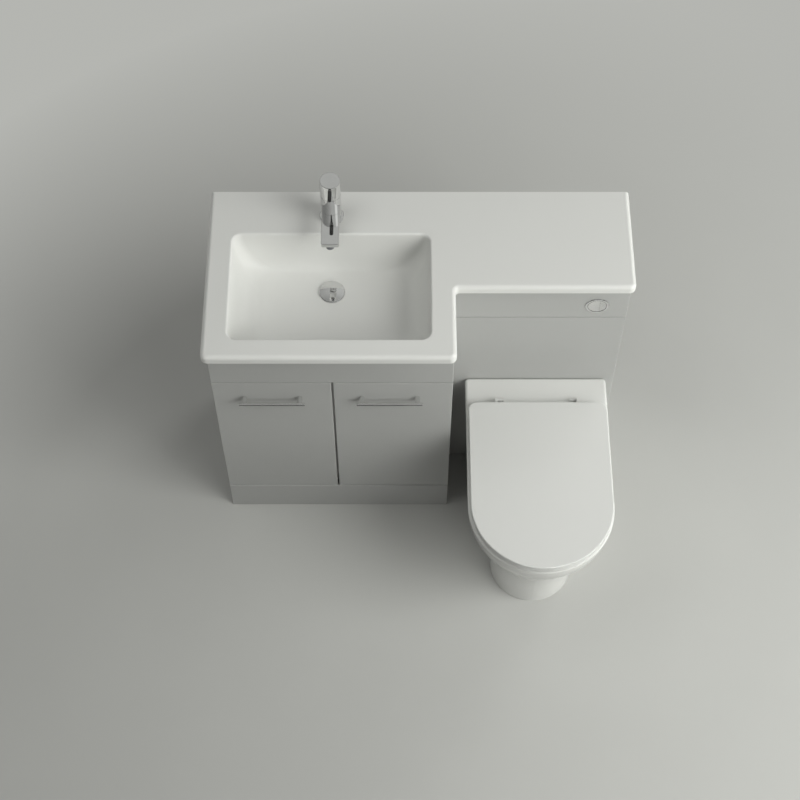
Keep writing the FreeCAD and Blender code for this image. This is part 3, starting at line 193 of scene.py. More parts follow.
# Ribs of the cistern, at shares of its width and height
TANK_RIB_WIDTH = 9.0 * MM
TANK_RIB_RISE = 5.0 * MM
TANK_RIB_MARGIN = 26.0 * MM
TANK_RIB_CROWN_SHARE = 0.6
TANK_RIB_END_SHARE = 0.2
TANK_UPRIGHT_SHARES = (0.14, 0.38, 0.62, 0.86)
TANK_LEVEL_SHARES = (0.3, 0.7)
TANK_LEVEL_RISE = 0.8 * TANK_RIB_RISE

# Fins of the soil connector
FIN_INSETS = (9.0 * MM, 21.0 * MM, 33.0 * MM)
FIN_ROOT = 54.8 * MM
FIN_REACH = 59.0 * MM
FIN_LIP = 1.0 * MM
FIN_THICKNESS = 3.5 * MM
FIN_NEAR_SHARE = 0.7
FIN_FAR_SHARE = 1.1
FIN_SIDES = 96


# Node trees of the finishes, the floor and the sky
class Graph:
    """A node tree with short ways to add to it. Except for add, they give what the next node follows."""

    def __init__(self, tree):
        self.tree = tree

    def add(self, kind, links=(), **settings):
        """A new node. Each link pairs a socket with a source to follow or with a value."""
        node = self.tree.nodes.new(kind)
        for key, value in settings.items():
            setattr(node, key, value)
        for socket, source in links:
            if isinstance(source, bpy.types.NodeSocket):
                self.tree.links.new(source, node.inputs[socket])
            else:
                node.inputs[socket].default_value = source
        return node

    def axes(self, source):
        return self.add("ShaderNodeSeparateXYZ", [("Vector", source)]).outputs

    def distance(self, source, centre):
        node = self.add("ShaderNodeVectorMath", [(0, source), (1, centre)], operation="DISTANCE")
        return node.outputs["Value"]

    def combined(self, operation, first, second):
        return self.add("ShaderNodeMath", [(0, first), (1, second)], operation=operation).outputs["Value"]

    def spread(self, source, low, high, start=NOISE_LOW, end=NOISE_HIGH, course="LINEAR"):
        """Turns values from start to end into values from low to high."""
        limits = [("From Min", start), ("From Max", end), ("To Min", low), ("To Max", high)]
        node = self.add("ShaderNodeMapRange", [("Value", source), *limits], interpolation_type=course)
        return node.outputs["Result"]

    def ramp(self, source, stops):
        node = self.add("ShaderNodeValToRGB", [("Fac", source)])
        elements = node.color_ramp.elements
        while len(elements) < len(stops):
            elements.new(NEW_STOP)
        for element, (position, value) in zip(elements, stops):
            element.position = position
            element.color = (*value, 1)
        return node.outputs["Color"]

    def mixed_colour(self, share, first, second):
        node = self.add("ShaderNodeMixRGB", [("Fac", share), ("Color1", first), ("Color2", second)])
        return node.outputs["Color"]

    def mixed_shader(self, share, first, second):
        return self.add("ShaderNodeMixShader", [("Fac", share), (1, first), (2, second)]).outputs["Shader"]


class Finish(Graph):
    """A principled shader with the textures that vary its colour, roughness and surface."""

    def __init__(self, name, **values):
        self.material = bpy.data.materials.new(name)
        self.material.use_nodes = True
        super().__init__(self.material.node_tree)
        self.tree.nodes.clear()
        self.output = self.add("ShaderNodeOutputMaterial")
        self.shader = self.add("ShaderNodeBsdfPrincipled")
        self.tree.links.new(self.shader.outputs["BSDF"], self.output.inputs["Surface"])
        self.coordinates = self.add("ShaderNodeTexCoord").outputs
        self.place = self.coordinates["Object"]
        self.relief = None
        for socket, value in values.items():
            self.shader.inputs[socket.replace("_", " ").title()].default_value = value

    def stretched(self, factors):
        return self.add("ShaderNodeMapping", [("Vector", self.place), ("Scale", factors)]).outputs["Vector"]

    def noise(self, scale, detail, roughness=0.5, where=None):
        values = [("Scale", scale), ("Detail", detail), ("Roughness", roughness)]
        return self.add("ShaderNodeTexNoise", [("Vector", where or self.place), *values]).outputs["Fac"]

    def cells(self, scale):
        return self.add("ShaderNodeTexVoronoi", [("Vector", self.place), ("Scale", scale)]).outputs["Color"]

    def colour(self, source):
        self.tree.links.new(source, self.shader.inputs["Base Color"])

    def roughness(self, source, low, high):
        self.tree.links.new(self.spread(source, low, high), self.shader.inputs["Roughness"])

    def bump(self, height, strength, distance):
        """Lays relief over the relief that is there."""
        links = [("Height", height), ("Strength", strength), ("Distance", distance)]
        if self.relief:
            links.append(("Normal", self.relief))
        self.relief = self.add("ShaderNodeBump", links).outputs["Normal"]
        self.tree.links.new(self.relief, self.shader.inputs["Normal"])


def shades(colour, low, high):
    """Two stops of one colour, a little darker and a little lighter."""
    darker = tuple(channel * low for channel in colour)
    lighter = tuple(channel * high for channel in colour)
    return [(NOISE_LOW, darker), (NOISE_HIGH, lighter)]


def cast_stone():
    finish = Finish("cast_stone", coat_weight=0.2, coat_roughness=0.22)
    clouds = finish.noise(scale=5.0, detail=4.0, roughness=0.55)
    finish.colour(finish.ramp(clouds, shades(STONE_WHITE, low=0.993, high=1.004)))
    finish.roughness(finish.noise(scale=14.0, detail=5.0), low=0.34, high=0.42)
    finish.bump(finish.noise(scale=9.0, detail=2.0), strength=0.03, distance=0.4 * MM)
    finish.bump(finish.noise(scale=900.0, detail=2.0), strength=0.02, distance=0.05 * MM)
    return finish.material


def lacquered_board(name, colour, roughness, raw_back=False):
    """Lacquered or foiled board. With a raw back, the edge towards the wall shows its chips."""
    finish = Finish(name, coat_weight=0.15, coat_roughness=0.3)
    clouds = finish.noise(scale=3.2, detail=5.0, roughness=0.6)
    face = finish.ramp(clouds, shades(colour, low=0.985, high=1.01))
    if raw_back:
        facing = finish.axes(finish.coordinates["Normal"])
        on_edge = finish.spread(facing["Y"], 0.0, 1.0, *RAW_EDGE_FACING)
        chips = finish.ramp(finish.cells(scale=380.0), shades(CHIPBOARD, low=0.6, high=1.3))
        face = finish.mixed_colour(on_edge, face, chips)
    finish.colour(face)
    finish.roughness(finish.noise(scale=24.0, detail=4.0), *roughness)
    finish.bump(finish.noise(scale=7.0, detail=2.0), strength=0.03, distance=0.4 * MM)
    finish.bump(finish.noise(scale=420.0, detail=3.0), strength=0.05, distance=0.06 * MM)
    return finish.material


def glazed_ceramic():
    finish = Finish("glazed_ceramic", coat_weight=0.35, coat_roughness=0.12)
    clouds = finish.noise(scale=6.0, detail=3.0)
    finish.colour(finish.ramp(clouds, shades(GLAZE_WHITE, low=0.99, high=1.006)))
    finish.roughness(finish.noise(scale=18.0, detail=4.0), low=0.19, high=0.26)
    finish.bump(finish.noise(scale=5.0, detail=1.0), strength=0.02, distance=0.4 * MM)
    return finish.material


def gloss_plastic():
    finish = Finish("gloss_plastic", coat_weight=0.15, coat_roughness=0.2)
    clouds = finish.noise(scale=4.0, detail=3.0)
    finish.colour(finish.ramp(clouds, shades(SEAT_WHITE, low=0.994, high=1.004)))
    finish.roughness(finish.noise(scale=26.0, detail=5.0), low=0.32, high=0.4)
    finish.bump(finish.noise(scale=12.0, detail=2.0), strength=0.02, distance=0.3 * MM)
    finish.bump(finish.noise(scale=1100.0, detail=2.0), strength=0.02, distance=0.04 * MM)
    return finish.material


def plated_metal(name, colour, roughness, wave, pin_root=None):
    """Plated or turned metal. With a pin root, what stands further to the front than it is dark."""
    finish = Finish(name, metallic=1.0)
    clouds = finish.noise(scale=30.0, detail=4.0)
    plating = finish.ramp(clouds, shades(colour, low=0.97, high=1.02))
    if pin_root is not None:
        place = finish.axes(finish.place)
        on_pin = finish.spread(place["Y"], 1.0, 0.0, pin_root - WELD, pin_root + WELD)
        pin = finish.ramp(clouds, shades(DARK_CHROME, low=0.9, high=1.1))
        plating = finish.mixed_colour(on_pin, plating, pin)
    finish.colour(plating)
    finish.roughness(finish.noise(scale=70.0, detail=5.0), *roughness)
    finish.bump(finish.noise(scale=40.0, detail=2.0), strength=wave, distance=0.2 * MM)
    return finish.material


def brushed_metal(name, colour, roughness, along):
    """Metal with fine strokes. They run along the axis with the small factor."""
    finish = Finish(name, metallic=1.0)
    strokes = finish.noise(scale=60.0, detail=6.0, roughness=0.7, where=finish.stretched(along))
    finish.colour(finish.ramp(strokes, shades(colour, low=0.93, high=1.05)))
    finish.roughness(strokes, *roughness)
    finish.bump(strokes, strength=0.12, distance=0.05 * MM)
    return finish.material


def moulded_plastic(name, colour):
    finish = Finish(name)
    finish.colour(finish.ramp(finish.noise(scale=9.0, detail=3.0), shades(colour, low=0.96, high=1.02)))
    finish.roughness(finish.noise(scale=60.0, detail=4.0), low=0.42, high=0.55)
    finish.bump(finish.noise(scale=700.0, detail=3.0), strength=0.12, distance=0.08 * MM)
    return finish.material


def soft_rubber():
    finish = Finish("soft_rubber")
    finish.colour(finish.ramp(finish.noise(scale=40.0, detail=4.0), shades(RUBBER, low=0.8, high=1.3)))
    finish.roughness(finish.noise(scale=90.0, detail=4.0), low=0.62, high=0.8)
    finish.bump(finish.noise(scale=600.0, detail=3.0), strength=0.2, distance=0.1 * MM)
    return finish.material


lever_pin_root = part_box("tap_lever")[0].y + LEVER_PIN_REACH
finishes = {
    "worktop": cast_stone(),
    "front": lacquered_board("lacquered_front", FRONT_GREY, roughness=(0.36, 0.46)),
    "carcass": lacquered_board("foiled_board", FRONT_GREY, roughness=(0.42, 0.52)),
    "raw_backed": lacquered_board("raw_backed_board", FRONT_GREY, roughness=(0.42, 0.52), raw_back=True),
    "ceramic": glazed_ceramic(),
    "seat_plastic": gloss_plastic(),
    "chrome": plated_metal("polished_chrome", CHROME, roughness=(0.03, 0.07), wave=0.015),
    "lever": plated_metal("lever_chrome", CHROME, roughness=(0.03, 0.07), wave=0.015,
                          pin_root=lever_pin_root),
    "button_plastic": plated_metal("satin_plate", SATIN_PLATE, roughness=(0.18, 0.26), wave=0.04),
    "handle_metal": brushed_metal("satin_handle", SATIN_HANDLE, roughness=(0.1, 0.18),
                                  along=(0.05, 1.0, 1.0)),
    "steel": brushed_metal("zinc_steel", ZINC, roughness=(0.3, 0.48), along=(1.0, 0.08, 1.0)),
    "copper": brushed_metal("drawn_copper", COPPER, roughness=(0.29, 0.42), along=(1.0, 1.0, 0.06)),
    "valve_brass": plated_metal("turned_brass", BRASS, roughness=(0.29, 0.4), wave=0.05),
    "white_plastic": moulded_plastic("white_plastic", WHITE_PLASTIC),
    "grey_plastic": moulded_plastic("grey_plastic", GREY_PLASTIC),
    "rubber": soft_rubber(),
}

# Nodes whose finish isn't the one that their slot names
SPECIAL_LOOKS = {
    "vanity_side_left": "raw_backed",
    "vanity_side_right": "raw_backed",
    "vanity_base": "raw_backed",
    "wc_side_left": "raw_backed",
    "wc_side_right": "raw_backed",
    "wc_cistern_shelf": "raw_backed",
    "tap_lever": "lever",
    # The aerator's dark grey plastic is partly its own colour and partly painted shade for the shadow under
    # the spout
    "tap_aerator": "grey_plastic",
    "seat_hinge_pins": "seat_plastic",
}


def add_bevel(piece, harden):
    bevel = piece.modifiers.new("bevel", "BEVEL")
    bevel.width = BEVEL_WIDTH
    bevel.segments = BEVEL_SEGMENTS
    bevel.limit_method = "ANGLE"
    bevel.harden_normals = harden


def dress_nodes():
    """Gives each CAD node its finish, and the boards of the carcass a fine bevel."""
    for part in frame["record"]["subparts"]:
        node = nodes[part["node"]]
        slot = part["material_slot"]
        node.data.materials.clear()
        node.data.materials.append(finishes[SPECIAL_LOOKS.get(part["node"], slot)])
        if slot == "carcass":
            weld = node.modifiers.new("weld", "WELD")
            weld.merge_threshold = WELD
            add_bevel(node, harden=True)


# Mesh helpers
def solids(node):
    """The corner boxes of a node's separate solids, lowest first, then from the left, then from the front."""
    mesh = bmesh.new()
    mesh.from_mesh(nodes[node].data)
    bmesh.ops.remove_doubles(mesh, verts=mesh.verts, dist=WELD)
    waiting = set(mesh.verts)
    boxes = []
    while waiting:
        reached = [waiting.pop()]
        for vertex in reached:
            for edge in vertex.link_edges:
                other = edge.other_vert(vertex)
                if other in waiting:
                    waiting.remove(other)
                    reached.append(other)
        rows = [[vertex.co[axis] for vertex in reached] for axis in range(3)]
        boxes.append((Vector([min(row) for row in rows]), Vector([max(row) for row in rows])))
    mesh.free()
    return sorted(boxes, key=lambda corners: [round(corners[0][axis], 4) for axis in (2, 0, 1)])


def placed(place, direction=UP):
    """A frame at a place whose own Z axis points along a direction."""
    return Matrix.Translation(place) @ Vector(direction).to_track_quat("Z", "Y").to_matrix().to_4x4()


def revolve(mesh, where, outline, sides, closed=False, grip=None, bore=0):
    """Turns (radius, height) points about the Z axis of a frame. Those outside the bore follow the grip."""
    rings = []
    for radius, height in outline:
        if radius == 0:
            rings.append([mesh.verts.new(where @ Vector((0, 0, height)))])
            continue
        ring = []
        for step in range(sides):
            angle = 2 * math.pi * step / sides
            reach = radius * grip(angle) if grip and radius > bore else radius
            point = Vector((reach * math.cos(angle), reach * math.sin(angle), height))
            ring.append(mesh.verts.new(where @ point))
        rings.append(ring)
    pairs = list(zip(rings, rings[1:]))
    if closed:
        pairs.append((rings[-1], rings[0]))
    for low, high in pairs:
        for step in range(sides):
            after = (step + 1) % sides
            corners = [low[step % len(low)], low[after % len(low)],
                       high[after % len(high)], high[step % len(high)]]
            mesh.faces.new(dict.fromkeys(corners))
    return rings


def add_piece(name, mesh, body, slot):
    """Makes an object of the mesh that moves with a body and has the finish of a slot."""
    bmesh.ops.recalc_face_normals(mesh, faces=mesh.faces)
    data = bpy.data.meshes.new(name)
    mesh.to_mesh(data)
    mesh.free()
    data.materials.append(finishes[slot])
    data.shade_smooth()
    data.set_sharp_from_angle(angle=SHARP_ANGLE)
    piece = bpy.data.objects.new(name, data)
    bpy.context.scene.collection.objects.link(piece)
    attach(piece, body)
    return piece


def screw_head(mesh, where, radius, height):
    """A pan head with a cross recess."""
    outline = [(0, 0), (radius, 0), (radius, height * HEAD_WALL_SHARE),
               (radius * HEAD_SHOULDER_RADIUS_SHARE, height * HEAD_SHOULDER_HEIGHT_SHARE),
               (radius * HEAD_CROWN_SHARE, height)]
    rim = revolve(mesh, where, outline, HEAD_SIDES)[-1]
    long = radius * CROSS_LENGTH_SHARE
    short = radius * CROSS_WIDTH_SHARE
    corners = [(long, -short), (long, short), (short, short), (short, long),
               (-short, long), (-short, short), (-long, short), (-long, -short),
               (-short, -short), (-short, -long), (short, -long), (short, -short)]
    depth = height * CROSS_FLOOR_SHARE
    top = [mesh.verts.new(where @ Vector((x, y, height))) for x, y in corners]
    floor = [mesh.verts.new(where @ Vector((x * CROSS_TAPER, y * CROSS_TAPER, depth))) for x, y in corners]
    edges = []
    for loop in (rim, top):
        for first, second in zip(loop, loop[1:] + loop[:1]):
            edges.append(mesh.edges.get((first, second)) or mesh.edges.new((first, second)))
    bmesh.ops.bridge_loops(mesh, edges=edges)
    for step in range(len(top)):
        after = (step + 1) % len(top)
        mesh.faces.new([top[step], top[after], floor[after], floor[step]])
    mesh.faces.new(floor)


def ribbed(angle):
    return 1 - RIB_DEPTH_SHARE * (0.5 + 0.5 * math.cos(NUT_RIBS * angle)) ** 2


def hexagon(angle):
    sixth = math.pi / 3
    return math.cos(sixth / 2) / math.cos(angle % sixth - sixth / 2)


def chamfered(radius, length):
    """The outer outline of a nut, with chamfered ends."""
    return [(radius - NUT_CHAMFER, 0), (radius, NUT_CHAMFER), (radius, length - NUT_CHAMFER),
            (radius - NUT_CHAMFER, length)]


def grip_ring(mesh, where, bore, radius, length, grip, sides):
    """A nut with a round bore, chamfered ends and ribs or flats round it."""
    outline = [(bore, 0), *chamfered(radius, length), (bore, length)]
    revolve(mesh, where, outline, sides, closed=True, grip=grip, bore=bore)


# Screws of the concealed hinges and of the handles
def make_hinge_screws(side, inward):
    cup_screws = bmesh.new()
    for low, high in solids(side + "_hinge_cups"):
        middle = (low + high) / 2
        for way in (-1, 1):
            place = Vector((middle.x, high.y, middle.z + way * CUP_SCREW_REACH))
            screw_head(cup_screws, placed(place, TO_WALL), SCREW_RADIUS, SCREW_HEIGHT)
    add_piece(side + "_hinge_cup_screws", cup_screws, side + "_door", "steel")
    plate_screws = bmesh.new()
    for low, high in solids(side + "_hinge_arms"):
        middle = (low + high) / 2
        panel_x, arm_x = (low.x, high.x) if inward > 0 else (high.x, low.x)
        plate_x = panel_x + inward * PLATE_THICKNESS
        plate_y = high.y - PLATE_LENGTH / 2
        places = [Vector((plate_x, plate_y, middle.z + way * PLATE_SCREW_REACH)) for way in (-1, 1)]
        places += [Vector((arm_x, high.y - inset, middle.z)) for inset in ARM_SCREW_INSETS]
        for place in places:
            screw_head(plate_screws, placed(place, TO_RIGHT * inward), SCREW_RADIUS, SCREW_HEIGHT)
    add_piece(side + "_hinge_plate_screws", plate_screws, "unit", "steel")


def make_handle_screws(side):
    screws = bmesh.new()
    for low, high in solids(side + "_handle_screws"):
        middle = (low + high) / 2
        head = Vector((middle.x, high.y - SCREW_HEIGHT, middle.z))
        screw_head(screws, placed(head, TO_WALL), HANDLE_SCREW_RADIUS, SCREW_HEIGHT)
        length = head.y - low.y
        shank = [(0, 0), (HANDLE_SHANK_RADIUS, 0), (HANDLE_SHANK_RADIUS, length), (0, length)]
        tip = Vector((middle.x, low.y, middle.z))
        revolve(screws, placed(tip, TO_WALL), shank, HANDLE_SHANK_SIDES)
    piece = add_piece(side + "_handle_screws_crossed", screws, side + "_door", "steel")
    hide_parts(side + "_handle_screws")


# Ribbed nuts of the waste and trap. The lowest is the cup of the trap.
def make_waste_nuts():
    nuts = bmesh.new()
    sides = NUT_RIBS * RIB_STEPS
    boxes = solids("waste_nuts")
    for (low, high), bore in zip(boxes, TRAP_NUT_BORES):
        size = high - low
        middle = (low + high) / 2
        lying = size.y < size.z
        direction = TO_WALL if lying else UP
        length = size.y if lying else size.z
        radius = size.x / 2
        where = placed(middle - direction * length / 2, direction)
        if low == boxes[0][0]:
            outline = [(0, 0), *chamfered(radius, length), (bore, length), (bore, TRAP_CUP_FLOOR),
                       (0, TRAP_CUP_FLOOR)]
            revolve(nuts, where, outline, sides, grip=ribbed, bore=bore)
        else:
            grip_ring(nuts, where, bore, radius, length, ribbed, sides)
    piece = add_piece("ribbed_waste_nuts", nuts, "unit", "white_plastic")
    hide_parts("waste_nuts")


# The thread of the waste, between the two nuts on it
def make_waste_thread():
    lower_nut, upper_nut = solids("waste_nuts")[2:4]
    middle = (upper_nut[0] + upper_nut[1]) / 2
    bottom = lower_nut[1].z
    turns = int((upper_nut[0].z - bottom) / THREAD_PITCH)
    outline = [(THREAD_ROOT, 0)]
    for turn in range(turns):
        outline.append((THREAD_CREST, (turn + 0.5) * THREAD_PITCH))
        outline.append((THREAD_ROOT + WELD, (turn + 1) * THREAD_PITCH))
    outline.append((THREAD_ROOT, turns * THREAD_PITCH))
    thread = bmesh.new()
    revolve(thread, placed(Vector((middle.x, middle.y, bottom))), outline, THREAD_SIDES, closed=True)
    add_piece("waste_thread", thread, "unit", "chrome")


# Hexagon nuts on the copper tails and on the stud of the tap
def hex_nut(mesh, x, y, low, length, bore, radius):
    """A hexagon over the middle of a round nut."""
    hex_length = length * HEX_LENGTH_SHARE
    where = placed(Vector((x, y, low + (length - hex_length) / 2)))
    grip_ring(mesh, where, bore, radius * HEX_SHARE, hex_length, hexagon, HEX_SIDES)


def make_hex_nuts():
    tail_nuts = bmesh.new()
    for low, high in solids("copper_tails"):
        middle = (low + high) / 2
        radius = (high.x - low.x) / 2
        if high.z - low.z < TAIL_NUT_LENGTH + NUT_CHAMFER:
            hex_nut(tail_nuts, middle.x, middle.y, low.z, TAIL_NUT_LENGTH, TAIL_RADIUS, radius)
    add_piece("copper_tails_hex_nuts", tail_nuts, "unit", "valve_brass")
    stud_nut = bmesh.new()
    stud, next_above = solids("tap_fixings")[:2]
    middle = (stud[0] + stud[1]) / 2
    hex_nut(stud_nut, middle.x, middle.y, next_above[0].z, STUD_NUT_LENGTH, STUD_RADIUS, STUD_NUT_RADIUS)
    add_piece("tap_fixings_hex_nuts", stud_nut, "unit", "steel")


# The rounded ring about the flush button
def make_button_ring():
    low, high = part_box("button_bezel")
    middle = (low + high) / 2
    outer = (high.x - low.x) / 2
    crest = (outer + RING_INNER) / 2
    reach = (outer - RING_INNER) / 2
    rise = high.y - low.y - RING_FOOT
    outline = [(RING_INNER, 0)]
    for step in range(RING_STEPS + 1):
        angle = math.pi * step / RING_STEPS
        outline.append((crest - reach * math.cos(angle), RING_FOOT + rise * math.sin(angle)))
    outline.append((outer, 0))
    ring = bmesh.new()
    foot = Vector((middle.x, high.y, middle.z))
    revolve(ring, placed(foot, TO_ROOM), outline, RING_SIDES, closed=True)
    piece = add_piece("button_ring", ring, "unit", "chrome")
    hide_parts("button_bezel")


# The mesh in the mouth of the tap
def make_aerator_lattice():
    low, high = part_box("tap_aerator")
    middle = (low + high) / 2
    centre = Vector((middle.x, middle.y, low.z + AERATOR_INSET))
    lattice = bmesh.new()
    count = int(AERATOR_BORE / LATTICE_PITCH)
    for step in range(-count, count + 1):
        offset = step * LATTICE_PITCH
        reach = math.sqrt(max(AERATOR_BORE ** 2 - offset ** 2, LATTICE_BAR ** 2))
        for across in (False, True):
            width, depth = (LATTICE_BAR, reach * 2) if across else (reach * 2, LATTICE_BAR)
            shift = (offset, 0, 0) if across else (0, offset, LATTICE_BAR / 2)
            bar = Matrix.Translation(centre + Vector(shift)) @ Matrix.Diagonal((width, depth, LATTICE_BAR, 1))
            bmesh.ops.create_cube(lattice, size=1, matrix=bar)
    add_piece("tap_aerator_lattice", lattice, "unit", "white_plastic")


# Rubber pads under the lid, above the seat's own buffers
def make_lid_pads():
    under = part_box("toilet_lid")[1].z - LID_THICKNESS
    outline = [(0, 0), (LID_PAD_RADIUS, 0), (LID_PAD_RADIUS, LID_PAD_HEIGHT / 2),
               (LID_PAD_RADIUS - LID_PAD_HEIGHT, LID_PAD_HEIGHT), (0, LID_PAD_HEIGHT)]
    pads = bmesh.new()
    for low, high in solids("seat_buffers"):
        middle = (low + high) / 2
        revolve(pads, placed(Vector((middle.x, middle.y, under)), DOWN), outline, LID_PAD_SIDES)
    add_piece("lid_pads", pads, "wc_lid", "rubber")


# Moulded ribs on the back of the cistern
def tank_rib(mesh, start, end, rise):
    """A tapered rib from start to end, standing out towards the wall."""
    along = (end - start).normalized()
    wide = along.cross(TO_WALL) * TANK_RIB_WIDTH / 2
    narrow = wide * TANK_RIB_CROWN_SHARE
    top = TO_WALL * rise
    inset = along * (TANK_RIB_WIDTH * TANK_RIB_END_SHARE)
    foot = [start - wide, start + wide, end + wide, end - wide]
    crown = [start - narrow + inset + top, start + narrow + inset + top,
             end + narrow - inset + top, end - narrow - inset + top]
    low_ring = [mesh.verts.new(point) for point in foot]
    high_ring = [mesh.verts.new(point) for point in crown]
    mesh.faces.new(high_ring)
    mesh.faces.new(low_ring)
    for step in range(len(foot)):
        after = (step + 1) % len(foot)
        mesh.faces.new([low_ring[step], low_ring[after], high_ring[after], high_ring[step]])


def make_tank_ribs():
    low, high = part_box("cistern_tank")
    bottom, top = low.z + TANK_RIB_MARGIN, high.z - TANK_RIB_MARGIN
    left, right = low.x + TANK_RIB_MARGIN, high.x - TANK_RIB_MARGIN
    ribs = bmesh.new()
    for share in TANK_UPRIGHT_SHARES:
        x = low.x + (high.x - low.x) * share
        tank_rib(ribs, Vector((x, high.y, bottom)), Vector((x, high.y, top)), TANK_RIB_RISE)
    for share in TANK_LEVEL_SHARES:
        z = low.z + (high.z - low.z) * share
        tank_rib(ribs, Vector((left, high.y, z)), Vector((right, high.y, z)), TANK_LEVEL_RISE)
    piece = add_piece("cistern_ribs", ribs, "unit", "white_plastic")
    add_bevel(piece, harden=False)


# Rubber fins on the end of the soil connector
def make_connector_fins():
    low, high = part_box("soil_connector")
    middle = (low + high) / 2
    lip = FIN_REACH - FIN_LIP
    outline = [(FIN_ROOT, 0), (lip, FIN_THICKNESS * FIN_NEAR_SHARE), (FIN_REACH, FIN_THICKNESS),
               (lip, FIN_THICKNESS * FIN_FAR_SHARE), (FIN_ROOT, FIN_THICKNESS)]
    fins = bmesh.new()
    for inset in FIN_INSETS:
        where = placed(Vector((middle.x, high.y - inset, middle.z)), TO_ROOM)
        revolve(fins, where, outline, FIN_SIDES, closed=True)
    add_piece("soil_connector_fins", fins, "unit", "rubber")


# Floor. Far from the unit, the camera and metal see it fade into the plain background. In front of the
# doors, metal shows a painted dark reflection on it: a dark patch that no card or lamp casts.
def make_floor():
    plane = bpy.data.meshes.new("floor")
    corners = [(-FLOOR_REACH, -FLOOR_REACH), (FLOOR_REACH, -FLOOR_REACH), (FLOOR_REACH, FLOOR_REACH),
               (-FLOOR_REACH, FLOOR_REACH)]
    plane.from_pydata([(x, y, -FLOOR_DROP) for x, y in corners], [], [(0, 1, 2, 3)])
    finish = Finish("plain_floor")
    clouds = finish.noise(scale=2.5, detail=3.0)
    finish.colour(finish.ramp(clouds, shades(FLOOR_COLOUR, low=0.985, high=1.01)))
    finish.roughness(finish.noise(scale=9.0, detail=4.0), low=0.65, high=0.75)
    rays = finish.add("ShaderNodeLightPath").outputs
    far = finish.spread(finish.distance(finish.place, FADE_CENTRE), 0.0, 1.0, *FADE_EDGES)
    seen = finish.combined("MAXIMUM", rays["Is Camera Ray"], rays["Is Glossy Ray"])
    faded = finish.combined("MULTIPLY", far, seen)
    # Painted dark reflection: in front of the doors, glossy rays see a dark emission patch on the floor
    near_painted_reflection = finish.spread(finish.distance(finish.place, PAINTED_REFLECTION_CENTRE), 1.0, 0.0, *PAINTED_REFLECTION_EDGES)
    on_left = finish.spread(finish.axes(finish.place)["X"], 1.0, 0.0, *PAINTED_REFLECTION_RIGHT_EDGES)
    on_painted_reflection = finish.combined("MULTIPLY", near_painted_reflection, on_left)
    painted_reflection = finish.combined("MULTIPLY", on_painted_reflection, rays["Is Glossy Ray"])
    surface = finish.shader.outputs["BSDF"]
    for share, colour in ((faded, BACKGROUND), (painted_reflection, PAINTED_REFLECTION_COLOUR)):
        plain = finish.add("ShaderNodeEmission", [("Color", (*colour, 1))])
        surface = finish.mixed_shader(share, surface, plain.outputs["Emission"])
    finish.tree.links.new(surface, finish.output.inputs["Surface"])
    plane.materials.append(finish.material)
    floor = bpy.data.objects.new("floor", plane)
    bpy.context.scene.collection.objects.link(floor)


def on_dome(turn, height):
    """The way from the unit to a point of the dome, turned from the front towards the right."""
    turn = math.radians(turn)
    height = math.radians(height)
    return Vector((math.sin(turn) * math.cos(height), -math.cos(turn) * math.cos(height), math.sin(height)))


def make_lamp(name, turn, height, size, power):
    data = bpy.data.lights.new(name, "AREA")
    data.shape = "DISK"
    data.size = size
    data.energy = power
    data.color = LAMP_COLOUR
    lamp = bpy.data.objects.new(name, data)
    lamp.visible_glossy = False
    lamp.visible_camera = False
    way = on_dome(turn, height)
    lamp.location = LAMP_TARGET + way * LAMP_DISTANCE
    lamp.rotation_euler = (-way).to_track_quat("-Z", "Y").to_euler()
    bpy.context.scene.collection.objects.link(lamp)


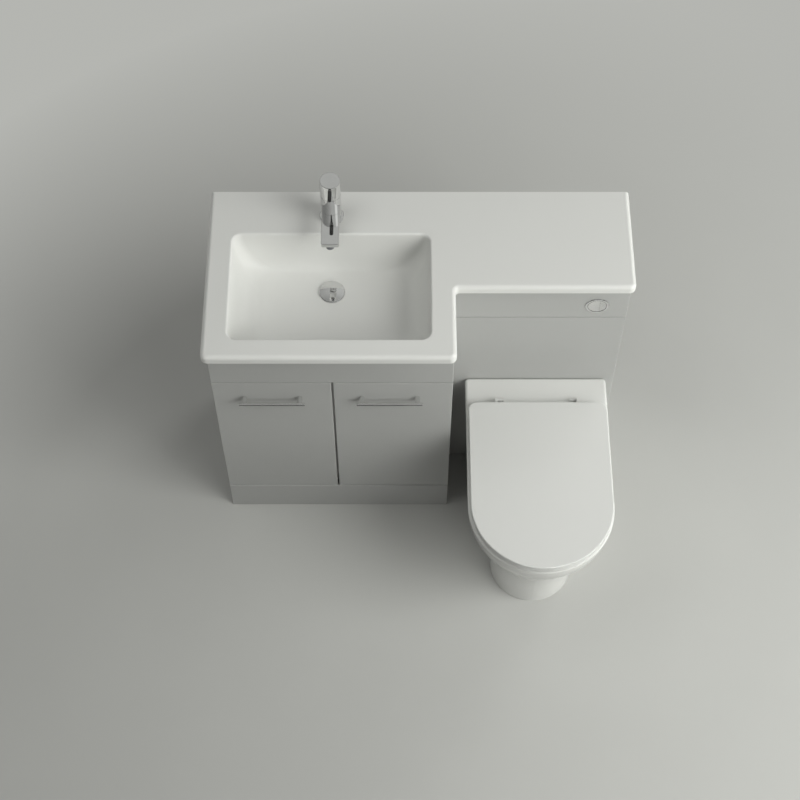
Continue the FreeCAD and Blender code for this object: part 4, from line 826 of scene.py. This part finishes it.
# The sky lights the unit a little, and the camera sees it plain. Metal shows it darker low down and on the
# left, with a soft box on the right, and with a lift low down everywhere but in front.
def make_sky():
    world = bpy.data.worlds.new("studio")
    bpy.context.scene.world = world
    world.use_nodes = True
    graph = Graph(world.node_tree)
    light = graph.tree.nodes["Background"]
    light.inputs["Strength"].default_value = SKY_LIGHT
    light.inputs["Color"].default_value = (1, 1, 1, 1)
    place = graph.add("ShaderNodeTexCoord").outputs["Generated"]
    axes = graph.axes(place)
    box_way = on_dome(SOFT_BOX_TURN, SOFT_BOX_HEIGHT)
    nearness = graph.add("ShaderNodeVectorMath", [(0, place), (1, box_way)], operation="DOT_PRODUCT")
    brightest = 1.0 + SOFT_BOX_LEVEL
    soft_box = graph.spread(nearness.outputs["Value"], 1.0, brightest, *SOFT_BOX_EDGES, "SMOOTHSTEP")
    side = graph.spread(axes["X"], SKY_LEFT_SHARE, 1.0, *SKY_SIDE_EDGES)
    main = graph.combined("MULTIPLY", soft_box, side)
    behind = graph.spread(axes["Y"], 0.0, 1.0, *SKY_FRONT_EDGES)
    reflected = graph.add("ShaderNodeAddShader")
    for socket, levels, strength in zip(reflected.inputs, (SKY_REFLECTED, SKY_LIFT), (main, behind)):
        stops = [(height, [level * channel for channel in SKY_TINT]) for height, level in levels]
        colour = graph.ramp(axes["Z"], stops)
        sky = graph.add("ShaderNodeBackground", [("Color", colour), ("Strength", strength)])
        graph.tree.links.new(sky.outputs["Background"], socket)
    plain = graph.add("ShaderNodeBackground", [("Color", (*BACKGROUND, 1))])
    rays = graph.add("ShaderNodeLightPath").outputs
    shader = light.outputs["Background"]
    shader = graph.mixed_shader(rays["Is Glossy Ray"], shader, reflected.outputs["Shader"])
    shader = graph.mixed_shader(rays["Is Camera Ray"], shader, plain.outputs["Background"])
    graph.tree.links.new(shader, graph.tree.nodes["World Output"].inputs["Surface"])


def make_camera():
    data = bpy.data.cameras.new("camera")
    data.sensor_width = SENSOR_WIDTH
    data.lens = SENSOR_WIDTH * FOCAL_PIXELS / IMAGE_WIDTH
    camera = bpy.data.objects.new("camera", data)
    camera.location = CAMERA_PLACE
    camera.rotation_euler = (CAMERA_TILT, 0, 0)
    bpy.context.scene.collection.objects.link(camera)
    bpy.context.scene.camera = camera


dress_nodes()
make_hinge_screws("left", 1)
make_hinge_screws("right", -1)
make_handle_screws("left")
make_handle_screws("right")
make_waste_nuts()
make_waste_thread()
make_hex_nuts()
make_button_ring()
make_aerator_lattice()
make_lid_pads()
make_tank_ribs()
make_connector_fins()
make_floor()
for lamp_values in LAMPS:
    make_lamp(*lamp_values)
make_sky()
make_camera()
bpy.context.scene.view_settings.view_transform = "Standard"
